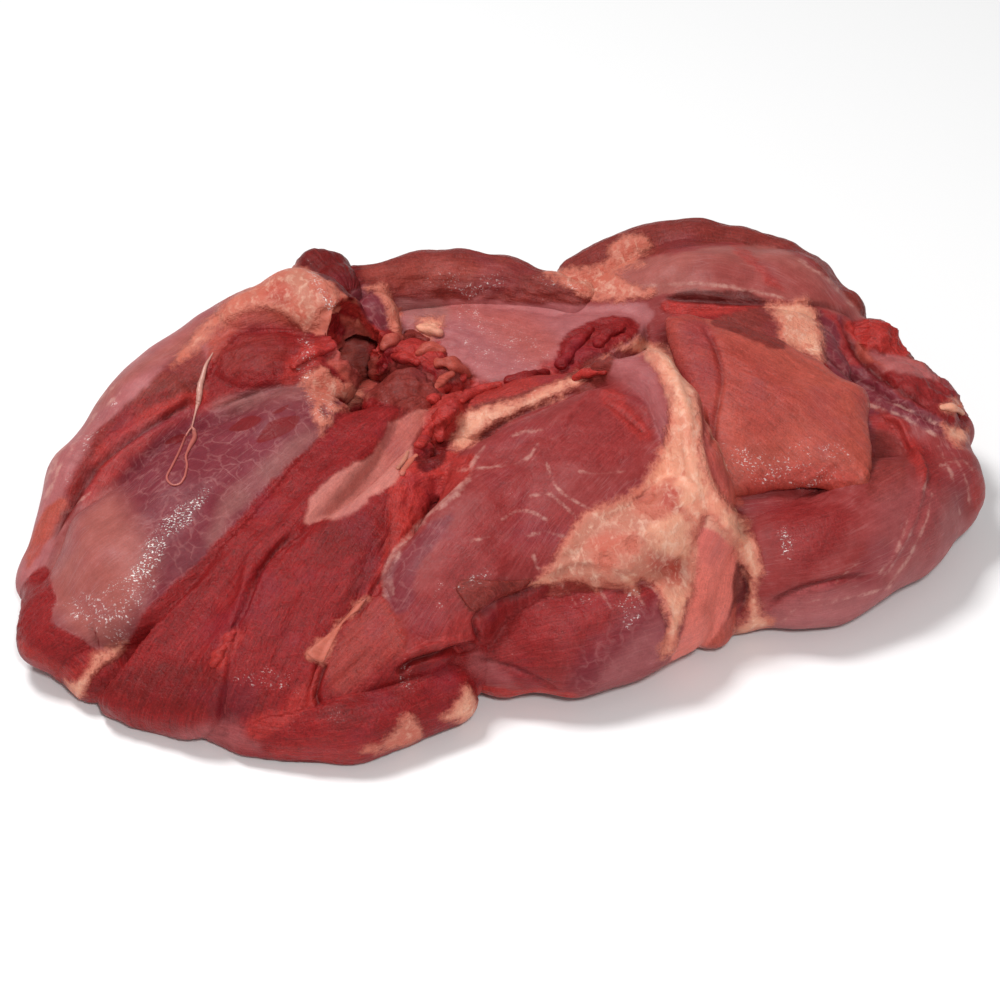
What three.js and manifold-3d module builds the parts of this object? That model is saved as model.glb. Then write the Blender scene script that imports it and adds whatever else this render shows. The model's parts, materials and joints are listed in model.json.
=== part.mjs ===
// A raw wild boar shoulder with the bones taken out, opened flat, with its inner side up.
// Units are millimetres and +Z is up. The underside is flat, where the meat lies on its own weight,
// and the origin is at the middle of that underside. +X runs along the shoulder's long side.
//
// The shoulder is one solid. Its muscles grow into each other, so each is shaped on its own, from a
// sphere, and all are then joined. Two shapes are enough:
//   a belly is a spindle that follows a path, with a half width and a half thickness at each stop;
//   a pad is a flat muscle inside a rim, domed above and below, as a trimmed flap or a cut face is.

import * as THREE from "three";
import { mergeVertices } from "three/addons/utils/BufferGeometryUtils.js";
import Module from "manifold-3d";

const FACET = 9.5; // the usual length of a facet's edge
const BELLY_SIDES = [9, 22]; // fewest and most facets round a belly
const BELLY_RINGS = [7, 18]; // fewest and most from end to end
const PAD_SIDES = 26;
const PAD_RINGS = 10;
const PATH_STEPS = 60; // samples that a belly's path is measured with
const LOOK_ALONG = 2; // how far before and after a ring its direction is read
const PIT_SIDES = 14;
const PIT_RINGS = 10;
const WELD = 1e-5; // points of a starting shape that are closer than this are one

const UNDER_DEPTH = 80; // depth of the block that trims the meat flat at the table
const TABLE_SIZE = 600; // and its width
const MIDDLE_OF_BOX = [1.48, 15.0]; // the middle of the muscles' box, which moves to the origin

// Shallow swells all over the meat, each [height, wavelength, direction in degrees], and how far
// their waves lean on the vertical.
const SWELLS = [
  [0.7, 41, 20],
  [0.5, 27, 100],
  [0.35, 17, 155],
];
const SWELL_LEAN = 0.6;

// The pit where the shoulder joint was cut out: its middle and its half sizes.
const JOINT_PIT = { middle: [-49, 55, 54], half: [10, 14, 18] };

// Bellies. Each stop on the path is [x, y, z], wide and thick are half sizes at the same stops, and
// box is 2 for an oval section and more for a flatter one.
const BELLIES = {
  // the deep muscles that everything else lies on
  deep_left: {
    path: [[-120, -36, 12], [-80, -15, 17], [-30, 5, 19]],
    wide: [26, 54, 50],
    thick: [14, 22, 24],
  },
  deep_middle: {
    path: [[-70, 25, 18], [0, 15, 20], [80, 25, 20]],
    wide: [50, 64, 58],
    thick: [22, 26, 26],
  },
  deep_right: {
    path: [[40, 34, 18], [90, 39, 20], [126, 34, 18]],
    wide: [60, 60, 34],
    thick: [24, 26, 20],
  },
  deep_front: {
    path: [[-116, -66, 7], [-72, -68, 11], [-18, -54, 15]],
    wide: [12, 21, 22],
    thick: [8, 13, 17],
  },
  deep_back_left: {
    path: [[-128, 4, 8], [-106, 40, 12], [-72, 70, 16], [-30, 84, 15]],
    wide: [14, 22, 26, 24],
    thick: [9, 14, 18, 16],
  },
  deep_back_right: {
    path: [[-10, 84, 14], [44, 92, 18], [92, 84, 17], [124, 62, 12]],
    wide: [22, 26, 26, 20],
    thick: [15, 19, 18, 13],
  },
  // the left end
  triceps: {
    path: [[-139, -46, 17], [-120, -33, 26], [-96, -12, 32], [-66, 14, 38]],
    wide: [18, 28, 30, 22],
    thick: [12, 19, 21, 21],
    box: 2.2,
  },
  back_belly: {
    path: [[-147, -17, 13], [-132, 13, 25], [-110, 43, 32], [-79, 70, 39]],
    wide: [13, 19, 24, 22],
    thick: [12, 18, 23, 24],
    box: 2.2,
  },
  corner_block: {
    path: [[-147, -27, 12], [-143, -43, 13], [-129, -60, 10]],
    wide: [9, 12, 11],
    thick: [9, 12, 10],
    box: 2.4,
  },
  joint_fat: {
    path: [[-86, 65, 56], [-70, 69, 59], [-58, 62, 55]],
    wide: [11, 14, 12],
    thick: [10, 12, 12],
  },
  inner_lobe: {
    path: [[-95, 33, 43], [-80, 44, 47], [-64, 46, 48]],
    wide: [13, 21, 18],
    thick: [11, 14, 13],
  },
  round_stump: {
    path: [[-63, 92, 46], [-61, 89, 52], [-58, 85, 54]],
    wide: [11, 12, 10],
    thick: [11, 13, 9],
  },
  strip_bed: {
    path: [[-64, -30, 38], [-50, -12, 41], [-38, 6, 45], [-28, 20, 46]],
    wide: [7, 10, 11, 9],
    thick: [7, 8, 8, 8],
  },
  hollow_lip: {
    path: [[-54, 74, 52], [-44, 68, 50], [-39, 62, 47], [-41, 56, 43]],
    wide: [4, 4, 4, 3],
    thick: [4, 4, 4, 3],
  },
  // the front, from left to right
  front_lip: {
    path: [[-120, -71, 6], [-95, -76, 7], [-68, -87, 8], [-42, -85, 11], [-18, -72, 12]],
    wide: [8, 9, 10, 12, 11],
    thick: [7, 8, 10, 13, 12],
  },
  front_belly: {
    path: [[2, -56, 14], [22, -54, 18], [40, -49, 20], [50, -42, 20]],
    wide: [17, 20, 20, 19],
    thick: [14, 18, 19, 19],
  },
  salmon_strip: {
    path: [[70, -24, 32], [70, -35, 24], [69, -39, 10]],
    wide: [9, 9, 7],
    thick: [9, 10, 9],
  },
  right_front: {
    path: [[80, -24, 18], [106, -18, 21], [128, -2, 22], [146, 15, 20]],
    wide: [18, 23, 22, 17],
    thick: [19, 22, 22, 17],
  },
  // the fat that runs over the top and down the front
  fat_mass: {
    path: [[19, -44, 36], [36, -39, 42], [56, -28, 48]],
    wide: [10, 15, 13],
    thick: [8, 11, 12],
  },
  fat_ridge: {
    path: [[36, 26, 60], [52, 16, 63], [60, -6, 60], [66, -28, 46], [62, -44, 24]],
    wide: [6, 9, 9, 10, 7],
    thick: [8, 10, 11, 10, 8],
  },
  // the right end
  right_end: {
    path: [[124, 66, 28], [139, 44, 27], [146, 19, 23]],
    wide: [15, 18, 16],
    thick: [14, 16, 15],
  },
  end_lobe_high: {
    path: [[122, 76, 36], [131, 73, 37], [136, 67, 34]],
    wide: [9, 10, 7],
    thick: [9, 10, 8],
  },
  end_lobe_low: {
    path: [[128, 62, 30], [146, 55, 30], [154, 41, 25]],
    wide: [9, 10, 8],
    thick: [9, 10, 9],
  },
  // the back, and what shows in the hollow behind the front muscles
  mound: {
    path: [[36, 88, 32], [64, 95, 37], [96, 90, 36], [116, 76, 29]],
    wide: [20, 26, 28, 20],
    thick: [17, 24, 24, 18],
  },
  mound_rim: {
    path: [[27, 103, 46], [46, 113, 48], [74, 117, 48], [98, 112, 45], [120, 91, 40]],
    wide: [7, 9, 10, 10, 8],
    thick: [7, 10, 11, 10, 8],
  },
  back_strip: {
    path: [[-50, 91, 48], [-26, 100, 45], [0, 100, 44], [26, 90, 43]],
    wide: [9, 11, 11, 8],
    thick: [10, 12, 12, 9],
  },
  back_wall: {
    path: [[-60, 80, 22], [-20, 94, 24], [30, 92, 26]],
    wide: [18, 20, 22],
    thick: [18, 20, 22],
  },
  middle_hump: {
    path: [[-18, 24, 40], [8, 26, 40], [34, 28, 46]],
    wide: [12, 17, 14],
    thick: [12, 15, 16],
  },
  pit_tag_back: {
    path: [[-38, 62, 38], [-28, 57, 42], [-18, 47, 43]],
    wide: [7, 9, 7],
    thick: [8, 10, 8],
  },
  pit_tag_fat: {
    path: [[-43, 82, 44], [-42, 76, 49], [-38, 70, 47]],
    wide: [6, 7, 5],
    thick: [6, 8, 5],
  },
  pit_tag_front: {
    path: [[-38, 30, 46], [-32, 32, 48], [-26, 31, 47]],
    wide: [9, 10, 9],
    thick: [7, 9, 7],
  },
  pit_lobe: {
    path: [[-24, 16, 47], [-17, 20, 49]],
    wide: [6, 6],
    thick: [6, 7],
  },
  wet_ridge: {
    path: [[-16, -6, 46], [-31, -17, 47], [-35, -38, 42], [-43, -56, 34]],
    wide: [7, 8, 7, 5],
    thick: [7, 8, 7, 6],
  },
};

// Pads. The rim goes once round the muscle's edge, up and down are its dome above and below the
// middle, and box is 1 for a round edge and more for a blunter one.
const PADS = {
  cut_face_left: {
    rim: [
      [-35, 17, 54], [-53, 15, 52], [-65, -2, 47], [-81, -25, 40], [-99, -51, 30], [-117, -69, 21],
      [-126, -78, 12], [-107, -87, 10], [-89, -89, 19], [-85, -72, 28], [-76, -49, 37],
      [-59, -31, 44], [-40, -4, 52],
    ],
    middle: [-80, -40, 36],
    up: 9,
    down: 24,
    box: 1.6,
  },
  cut_face_right: {
    rim: [
      [-24, 2, 52], [-48, -24, 46], [-73, -43, 38], [-87, -66, 28], [-88, -84, 19], [-75, -93, 10],
      [-61, -90, 15], [-53, -72, 26], [-38, -51, 38], [-24, -26, 46],
    ],
    middle: [-60, -52, 35],
    up: 9,
    down: 24,
    box: 1.6,
  },
  lower_flap: {
    rim: [
      [-55, -72, 28], [-61, -86, 20], [-61, -92, 14], [-45, -87, 19], [-28, -80, 25],
      [-14, -72, 27], [-12, -62, 32], [-20, -55, 36], [-34, -53, 38], [-45, -58, 35],
    ],
    middle: [-34, -70, 29],
    up: 6,
    down: 14,
    box: 1.8,
  },
  middle_belly: {
    rim: [
      [-37, -65, 31], [-36, -50, 37], [-22, -29, 44], [-12, -2, 48], [13, 9, 54], [33, 20, 58],
      [49, 17, 60], [58, -10, 56], [46, -34, 46], [24, -49, 39], [3, -58, 34], [-6, -67, 31],
      [-23, -73, 29],
    ],
    middle: [10, -24, 46],
    up: 15,
    down: 26,
    box: 1.7,
  },
  valley_floor: {
    rim: [
      [-42, 89, 39], [-14, 90, 40], [21, 84, 42], [50, 76, 46], [36, 53, 44], [7, 40, 40],
      [-17, 48, 38], [-32, 69, 38],
    ],
    middle: [4, 66, 36],
    up: 7,
    down: 20,
    box: 2,
  },
  top_flap: {
    rim: [
      [55, 53, 65], [69, 54, 64], [82, 51, 62], [101, 43, 58], [117, 31, 55], [123, 25, 53],
      [123, 12, 50], [121, -3, 45], [119, -10, 41], [98, -9, 43], [74, -11, 44], [66, 3, 51],
      [62, 24, 58],
    ],
    middle: [92, 16, 57],
    up: 6,
    down: 7,
    box: 2,
  },
  top_shelf: {
    rim: [
      [56, 63, 56], [82, 69, 56], [108, 69, 52], [119, 53, 47], [120, 26, 45], [100, 33, 52],
      [80, 40, 56],
    ],
    middle: [96, 50, 51],
    up: 6,
    down: 16,
    box: 1.8,
  },
};

const wasm = await Module();
wasm.setup();

function points(list) {
  return list.map((p) => new THREE.Vector3(...p));
}

function facets(length, [fewest, most]) {
  return THREE.MathUtils.clamp(Math.round(length / FACET), fewest, most);
}

// How much the swells push a point outwards.
function swell(point) {
  return SWELLS.reduce((sum, [height, wave, degrees]) => {
    const turn = THREE.MathUtils.degToRad(degrees);
    const along = point.x * Math.cos(turn) + point.y * Math.sin(turn) + SWELL_LEAN * point.z;
    return sum + height * Math.sin((2 * Math.PI * along) / wave);
  }, 0);
}

// A sphere as a solid, after shape has given each of its points a new place and the middle that the
// swells push it away from.
function solidFromSphere(sides, rings, shape) {
  const sphere = new THREE.SphereGeometry(1, sides, rings);
  sphere.deleteAttribute("normal");
  sphere.deleteAttribute("uv");
  const merged = mergeVertices(sphere, WELD);
  const place = merged.getAttribute("position");
  for (let i = 0; i < place.count; i++) {
    const { end, middle } = shape(new THREE.Vector3().fromBufferAttribute(place, i));
    const outwards = end.clone().sub(middle).normalize();
    end.addScaledVector(outwards, swell(end));
    place.setXYZ(i, end.x, end.y, end.z);
  }
  return solidFrom(merged);
}

function solidFrom(geometry) {
  const made = new wasm.Manifold(
    new wasm.Mesh({
      numProp: 3,
      vertProperties: new Float32Array(geometry.getAttribute("position").array),
      triVerts: new Uint32Array(geometry.index.array),
    }),
  );
  if (made.volume() > 0) return made;
  // the shape turned the sphere inside out, so each face is turned round
  const corners = new Uint32Array(geometry.index.array);
  for (let i = 0; i < corners.length; i += 3) {
    [corners[i + 1], corners[i + 2]] = [corners[i + 2], corners[i + 1]];
  }
  geometry.setIndex(new THREE.BufferAttribute(corners, 1));
  return solidFrom(geometry);
}

// The value at a distance along a path, where stops holds one value for each stop on the path.
function between(stops, share) {
  const at = share * (stops.length - 1);
  const low = Math.min(Math.floor(at), stops.length - 2);
  const t = at - low;
  return THREE.MathUtils.lerp(stops[low], stops[low + 1], t * t * (3 - 2 * t));
}

function belly({ path, wide, thick, box = 2 }) {
  const curve = new THREE.CatmullRomCurve3(points(path), false, "catmullrom", 0.5);
  curve.arcLengthDivisions = PATH_STEPS;
  const length = curve.getLength();
  const [startCap, endCap] = [wide[0], wide[wide.length - 1]];
  const full = startCap + length + endCap;
  const girth = 2 * Math.PI * Math.max(...wide);
  const up = new THREE.Vector3(0, 0, 1);

  // the sphere's own axis, Y, runs along the path
  return solidFromSphere(facets(girth, BELLY_SIDES), facets(full, BELLY_RINGS), (ball) => {
    const along = ((1 + ball.y) / 2) * full - startCap;
    const onPath = THREE.MathUtils.clamp(along, 0, length);
    const ahead = curve.getPointAt(Math.min(onPath + LOOK_ALONG, length) / length);
    const behind = curve.getPointAt(Math.max(onPath - LOOK_ALONG, 0) / length);
    const forward = ahead.sub(behind).normalize();
    const side = new THREE.Vector3().crossVectors(forward, up).normalize();
    const top = new THREE.Vector3().crossVectors(side, forward);

    const past = along < 0 ? along / startCap : Math.max(along - length, 0) / endCap;
    const shrink = Math.sqrt(Math.max(0, 1 - past * past));
    const round = Math.atan2(ball.z, ball.x);
    const [c, s] = [Math.cos(round), Math.sin(round)];
    const reach = shrink * (Math.abs(c) ** box + Math.abs(s) ** box) ** (-1 / box);
    const t = curve.getUtoTmapping(onPath / length);
    const middle = curve.getPoint(t);
    const end = middle
      .clone()
      .addScaledVector(forward, along - onPath)
      .addScaledVector(side, c * reach * between(wide, t))
      .addScaledVector(top, s * reach * between(thick, t));
    return { end, middle };
  });
}

function pad({ rim, middle, up, down, box }) {
  const curve = new THREE.CatmullRomCurve3(points(rim), true, "catmullrom", 0.5);
  const centre = new THREE.Vector3(...middle);

  // the sphere's Y axis points up through the middle, and its equator becomes the rim
  return solidFromSphere(PAD_SIDES, PAD_RINGS, (ball) => {
    const flat = Math.hypot(ball.x, ball.z);
    const turn = (Math.atan2(ball.z, ball.x) / (2 * Math.PI) + 1) % 1;
    const out = curve.getPoint(turn).sub(centre).multiplyScalar(flat ** (1 / box));
    const lift = new THREE.Vector3(0, 0, ball.y * (ball.y > 0 ? up : down));
    return { end: centre.clone().add(out).add(lift), middle: centre };
  });
}

function jointPit() {
  const middle = new THREE.Vector3(...JOINT_PIT.middle);
  const half = new THREE.Vector3(...JOINT_PIT.half);
  return solidFromSphere(PIT_SIDES, PIT_RINGS, (ball) => {
    const end = new THREE.Vector3(ball.x, ball.z, ball.y).multiply(half).add(middle);
    return { end, middle };
  });
}

// The block under the table top, which leaves the meat's underside flat.
function underTable() {
  const block = new THREE.BoxGeometry(TABLE_SIZE, TABLE_SIZE, UNDER_DEPTH);
  block.deleteAttribute("normal");
  block.deleteAttribute("uv");
  block.translate(0, 0, -UNDER_DEPTH / 2);
  return solidFrom(mergeVertices(block, WELD));
}

// The largest closed body, without loose scraps and without hollows that joining sealed.
function outerBody(solid) {
  const bodies = solid.decompose().filter((body) => body.volume() > 0);
  return bodies.reduce((best, body) => (body.volume() > best.volume() ? body : best));
}

function shoulder() {
  const muscles = [...Object.values(BELLIES).map(belly), ...Object.values(PADS).map(pad)];
  const joined = muscles.reduce((all, muscle) => all.add(muscle));
  const whole = outerBody(joined).subtract(jointPit()).subtract(underTable());
  const mesh = outerBody(whole).getMesh();
  const geometry = new THREE.BufferGeometry();
  geometry.setAttribute("position", new THREE.BufferAttribute(mesh.vertProperties, 3));
  geometry.setIndex(new THREE.BufferAttribute(mesh.triVerts, 1));
  geometry.translate(-MIDDLE_OF_BOX[0], -MIDDLE_OF_BOX[1], 0);
  geometry.computeVertexNormals();
  return geometry;
}

const rawMeat = new THREE.MeshStandardMaterial({ color: 0x98423f, roughness: 0.38, metalness: 0 });
const meat = new THREE.Mesh(shoulder(), rawMeat);
meat.name = "boned_shoulder";

const part = new THREE.Group();
part.add(meat);

export default part;
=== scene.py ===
"""A raw wild boar shoulder with the bones taken out, opened flat, with its inner side up.

The shoulder is modelled muscle by muscle. The muscles that have grown together are fused into one
body, and the flaps, strips and loose tags that lie on it are pieces of their own. Every surface is
then worked over with named patches: each is an outline, in pixels of the photograph, that is
thrown from the camera's place on to the meat, where it sets colour, skin, fat and relief.
"""

import json
import math
from itertools import product

import bpy
import numpy as np
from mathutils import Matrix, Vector
from mathutils.bvhtree import BVHTree
from mathutils.kdtree import KDTree

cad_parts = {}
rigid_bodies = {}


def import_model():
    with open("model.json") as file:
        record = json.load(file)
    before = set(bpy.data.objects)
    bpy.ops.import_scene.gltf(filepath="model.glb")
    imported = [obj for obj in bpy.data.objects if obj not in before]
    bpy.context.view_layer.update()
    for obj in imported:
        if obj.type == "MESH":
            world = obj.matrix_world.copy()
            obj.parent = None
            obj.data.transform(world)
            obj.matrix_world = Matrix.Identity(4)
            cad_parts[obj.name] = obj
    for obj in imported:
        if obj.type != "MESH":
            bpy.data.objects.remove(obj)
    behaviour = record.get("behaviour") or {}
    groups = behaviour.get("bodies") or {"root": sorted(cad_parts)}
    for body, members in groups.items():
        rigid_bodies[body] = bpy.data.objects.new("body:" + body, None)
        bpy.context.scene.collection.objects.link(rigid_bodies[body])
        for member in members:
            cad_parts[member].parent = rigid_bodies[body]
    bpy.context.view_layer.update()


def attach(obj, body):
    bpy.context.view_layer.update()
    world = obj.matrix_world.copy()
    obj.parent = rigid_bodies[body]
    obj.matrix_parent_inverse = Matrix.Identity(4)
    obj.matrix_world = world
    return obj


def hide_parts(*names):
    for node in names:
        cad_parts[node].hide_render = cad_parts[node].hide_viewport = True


bl_info = {
    "name": "Raw boned shoulder",
    "version": (1, 0, 0),
    "blender": (4, 5, 0),
    "location": "3D View > Sidebar > Meat",
    "description": "Models a raw boned shoulder of meat, muscle by muscle",
    "category": "Object",
}

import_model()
NODE = "boned_shoulder"
MM = 0.001

# The camera's place, from the photograph's framing. The muscles' table has its own middle.
RAISED = math.radians(40)
AWAY = 1.05
FRAME_WIDTH = 0.332
MIDDLE_OF_BOX = (1.48, 15.0)
AIM = Vector((-MIDDLE_OF_BOX[0] * MM, -MIDDLE_OF_BOX[1] * MM, 0.030))
FORWARD = np.array((0, math.cos(RAISED), -math.sin(RAISED)))
UP = np.array((0, math.sin(RAISED), math.cos(RAISED)))
EYE = AIM + Vector((0, -AWAY * math.cos(RAISED), AWAY * math.sin(RAISED)))
PICTURE = 1000
PIXEL = FRAME_WIDTH / PICTURE / MM

# Shallow swells all over the meat, each (height, wavelength, direction in degrees), millimetres.
SWELLS = ((0.7, 41, 20), (0.5, 27, 100), (0.35, 17, 155))

# The muscles, in millimetres, as in the solid model. A belly is a spindle along a path, with half
# sizes at each stop; box is 2 for an oval section and more for a flatter one.
BELLIES = {
    "deep_left": dict(path=((-120, -36, 12), (-80, -15, 17), (-30, 5, 19)),
                      wide=(26, 54, 50), thick=(14, 22, 24)),
    "deep_middle": dict(path=((-70, 25, 18), (0, 15, 20), (80, 25, 20)),
                        wide=(50, 64, 58), thick=(22, 26, 26)),
    "deep_right": dict(path=((40, 34, 18), (90, 39, 20), (126, 34, 18)),
                       wide=(60, 60, 34), thick=(24, 26, 20)),
    "deep_front": dict(path=((-116, -66, 7), (-72, -68, 11), (-18, -54, 15)),
                       wide=(12, 21, 22), thick=(8, 13, 17)),
    "deep_back_left": dict(path=((-128, 4, 8), (-106, 40, 12), (-72, 70, 16), (-30, 84, 15)),
                           wide=(14, 22, 26, 24), thick=(9, 14, 18, 16)),
    "deep_back_right": dict(path=((-10, 84, 14), (44, 92, 18), (92, 84, 17), (124, 62, 12)),
                            wide=(22, 26, 26, 20), thick=(15, 19, 18, 13)),
    "triceps": dict(path=((-139, -46, 17), (-120, -33, 26), (-96, -12, 32), (-66, 14, 38)),
                    wide=(18, 28, 30, 22), thick=(12, 19, 21, 21), box=2.2),
    "back_belly": dict(path=((-147, -17, 13), (-132, 13, 25), (-110, 43, 32), (-79, 70, 39)),
                       wide=(13, 19, 24, 22), thick=(12, 18, 23, 24), box=2.2),
    "corner_block": dict(path=((-147, -27, 12), (-143, -43, 13), (-129, -60, 10)),
                         wide=(9, 12, 11), thick=(9, 12, 10), box=2.4),
    "joint_fat": dict(path=((-86, 65, 56), (-70, 69, 59), (-58, 62, 55)),
                      wide=(11, 14, 12), thick=(10, 12, 12)),
    "inner_lobe": dict(path=((-95, 33, 43), (-80, 44, 47), (-64, 46, 48)),
                       wide=(13, 21, 18), thick=(11, 14, 13)),
    "round_stump": dict(path=((-63, 92, 46), (-61, 89, 52), (-58, 85, 54)),
                        wide=(11, 12, 10), thick=(11, 13, 9)),
    "strip_bed": dict(path=((-64, -30, 38), (-50, -12, 41), (-38, 6, 45), (-28, 20, 46)),
                      wide=(7, 10, 11, 9), thick=(7, 8, 8, 8)),
    "hollow_lip": dict(path=((-54, 74, 52), (-44, 68, 50), (-39, 62, 47), (-41, 56, 43)),
                       wide=(4, 4, 4, 3), thick=(4, 4, 4, 3)),
    "front_lip": dict(path=((-120, -71, 6), (-95, -76, 7), (-68, -87, 8), (-42, -85, 11),
                            (-18, -72, 12)),
                      wide=(8, 9, 10, 12, 11), thick=(7, 8, 10, 13, 12)),
    "front_belly": dict(path=((2, -56, 14), (22, -54, 18), (40, -49, 20), (50, -42, 20)),
                        wide=(17, 20, 20, 19), thick=(14, 18, 19, 19)),
    "salmon_strip": dict(path=((70, -24, 32), (70, -35, 24), (69, -39, 10)),
                         wide=(9, 9, 7), thick=(9, 10, 9)),
    "right_front": dict(path=((80, -24, 18), (106, -18, 21), (128, -2, 22), (146, 15, 20)),
                        wide=(18, 23, 22, 17), thick=(19, 22, 22, 17)),
    "fat_mass": dict(path=((19, -44, 36), (36, -39, 42), (56, -28, 48)),
                     wide=(10, 15, 13), thick=(8, 11, 12)),
    "fat_ridge": dict(path=((36, 26, 60), (52, 16, 63), (60, -6, 60), (66, -28, 46), (62, -44, 24)),
                      wide=(6, 9, 9, 10, 7), thick=(8, 10, 11, 10, 8)),
    "right_end": dict(path=((124, 66, 28), (139, 44, 27), (146, 19, 23)),
                      wide=(15, 18, 16), thick=(14, 16, 15)),
    "end_lobe_high": dict(path=((122, 76, 36), (131, 73, 37), (136, 67, 34)),
                          wide=(9, 10, 7), thick=(9, 10, 8)),
    "end_lobe_low": dict(path=((128, 62, 30), (146, 55, 30), (154, 41, 25)),
                         wide=(9, 10, 8), thick=(9, 10, 9)),
    "mound": dict(path=((36, 88, 32), (64, 95, 37), (96, 90, 36), (116, 76, 29)),
                  wide=(20, 26, 28, 20), thick=(17, 24, 24, 18)),
    "mound_rim": dict(path=((27, 103, 46), (46, 113, 48), (74, 117, 48), (98, 112, 45),
                            (120, 91, 40)),
                      wide=(7, 9, 10, 10, 8), thick=(7, 10, 11, 10, 8)),
    "back_strip": dict(path=((-50, 91, 48), (-26, 100, 45), (0, 100, 44), (26, 90, 43)),
                       wide=(9, 11, 11, 8), thick=(10, 12, 12, 9)),
    "back_wall": dict(path=((-60, 80, 22), (-20, 94, 24), (30, 92, 26)),
                      wide=(18, 20, 22), thick=(18, 20, 22)),
    "middle_hump": dict(path=((-18, 24, 40), (8, 26, 40), (34, 28, 46)),
                        wide=(12, 17, 14), thick=(12, 15, 16)),
    "pit_tag_back": dict(path=((-38, 62, 38), (-28, 57, 42), (-18, 47, 43)),
                         wide=(7, 9, 7), thick=(8, 10, 8)),
    "pit_tag_fat": dict(path=((-43, 82, 44), (-42, 76, 49), (-38, 70, 47)),
                        wide=(6, 7, 5), thick=(6, 8, 5)),
    "pit_tag_front": dict(path=((-38, 30, 46), (-32, 32, 48), (-26, 31, 47)),
                          wide=(9, 10, 9), thick=(7, 9, 7)),
    "pit_lobe": dict(path=((-24, 16, 47), (-17, 20, 49)),
                     wide=(6, 6), thick=(6, 7)),
    "wet_ridge": dict(path=((-16, -6, 46), (-31, -17, 47), (-35, -38, 42), (-43, -56, 34)),
                      wide=(7, 8, 7, 5), thick=(7, 8, 7, 6)),
}

# A pad is a flat muscle inside a rim, domed above and below its middle. Grain is the direction of
# its fibres in degrees, seen from above.
PADS = {
    "cut_face_left": dict(
        rim=((-35, 17, 54), (-53, 15, 52), (-65, -2, 47), (-81, -25, 40), (-99, -51, 30),
             (-117, -69, 21), (-126, -78, 12), (-107, -87, 10), (-89, -89, 19), (-85, -72, 28),
             (-76, -49, 37), (-59, -31, 44), (-40, -4, 52)),
        middle=(-80, -40, 36), up=9, down=24, box=1.6, grain=52),
    "cut_face_right": dict(
        rim=((-24, 2, 52), (-48, -24, 46), (-73, -43, 38), (-87, -66, 28), (-88, -84, 19),
             (-75, -93, 10), (-61, -90, 15), (-53, -72, 26), (-38, -51, 38), (-24, -26, 46)),
        middle=(-60, -52, 35), up=9, down=24, box=1.6, grain=60),
    "lower_flap": dict(
        rim=((-55, -72, 28), (-61, -86, 20), (-61, -92, 14), (-45, -87, 19), (-28, -80, 25),
             (-14, -72, 27), (-12, -62, 32), (-20, -55, 36), (-34, -53, 38), (-45, -58, 35)),
        middle=(-34, -70, 29), up=6, down=14, box=1.8, grain=40),
    "middle_belly": dict(
        rim=((-37, -65, 31), (-36, -50, 37), (-22, -29, 44), (-12, -2, 48), (13, 9, 54),
             (33, 20, 58), (49, 17, 60), (58, -10, 56), (46, -34, 46), (24, -49, 39), (3, -58, 34),
             (-6, -67, 31), (-23, -73, 29)),
        middle=(10, -24, 46), up=15, down=26, box=1.7, grain=48),
    "valley_floor": dict(
        rim=((-42, 89, 39), (-14, 90, 40), (21, 84, 42), (50, 76, 46), (36, 53, 44), (7, 40, 40),
             (-17, 48, 38), (-32, 69, 38)),
        middle=(4, 66, 36), up=7, down=20, box=2, grain=-20),
    "top_flap": dict(
        rim=((55, 53, 65), (69, 54, 64), (82, 51, 62), (101, 43, 58), (117, 31, 55), (123, 25, 53),
             (123, 12, 50), (121, -3, 45), (119, -10, 41), (98, -9, 43), (74, -11, 44),
             (66, 3, 51), (62, 24, 58)),
        middle=(92, 16, 57), up=6, down=7, box=2, grain=-35),
    "top_shelf": dict(
        rim=((56, 63, 56), (82, 69, 56), (108, 69, 52), (119, 53, 47), (120, 26, 45),
             (100, 33, 52), (80, 40, 56)),
        middle=(96, 50, 51), up=6, down=16, box=1.8, grain=-20),
}

# These lie on the others as pieces of their own.
LOOSE = ("top_flap", "lower_flap", "back_strip", "round_stump", "end_lobe_high", "end_lobe_low")

# The others are fused into two bodies, left and right of the deep crease.
RIGHT = ("deep_right", "deep_back_right", "front_belly", "salmon_strip", "right_front", "fat_mass",
         "fat_ridge", "right_end", "mound", "mound_rim", "back_wall", "middle_hump", "middle_belly",
         "valley_floor", "top_shelf", "pit_tag_back", "pit_tag_front", "pit_lobe", "wet_ridge")

# The hollow that the joint's head left.
JOINT_PIT = {"middle": (-49, 55, 54), "half": (10, 14, 18)}

# How fine the balls are that the pieces are made from, and how deep sheets sink into the meat.
LOBE_SIDES, LOBE_RINGS = 96, 64
LOOSE_SIDES, LOOSE_RINGS = 220, 110
TAG_SIDES, TAG_RINGS = 40, 28
SUNK = 0.2

# Lights: name, place, size, power and what they face, in metres and watts.
LIGHTS = (
    ("key", (-0.45, 0.15, 1.3), 0.35, 12.8, (0, 0, 0.03)),
    ("front", (0.1, -0.95, 1.05), 0.14, 8, (0, 0, 0.03)),
)


def tone(code):
    """The linear colour that a hexadecimal screen colour stands for."""
    parts = [int(code[i:i + 2], 16) / 255 for i in (0, 2, 4)]
    return tuple(c / 12.92 if c <= 0.04045 else ((c + 0.055) / 1.055) ** 2.4 for c in parts)


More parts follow.
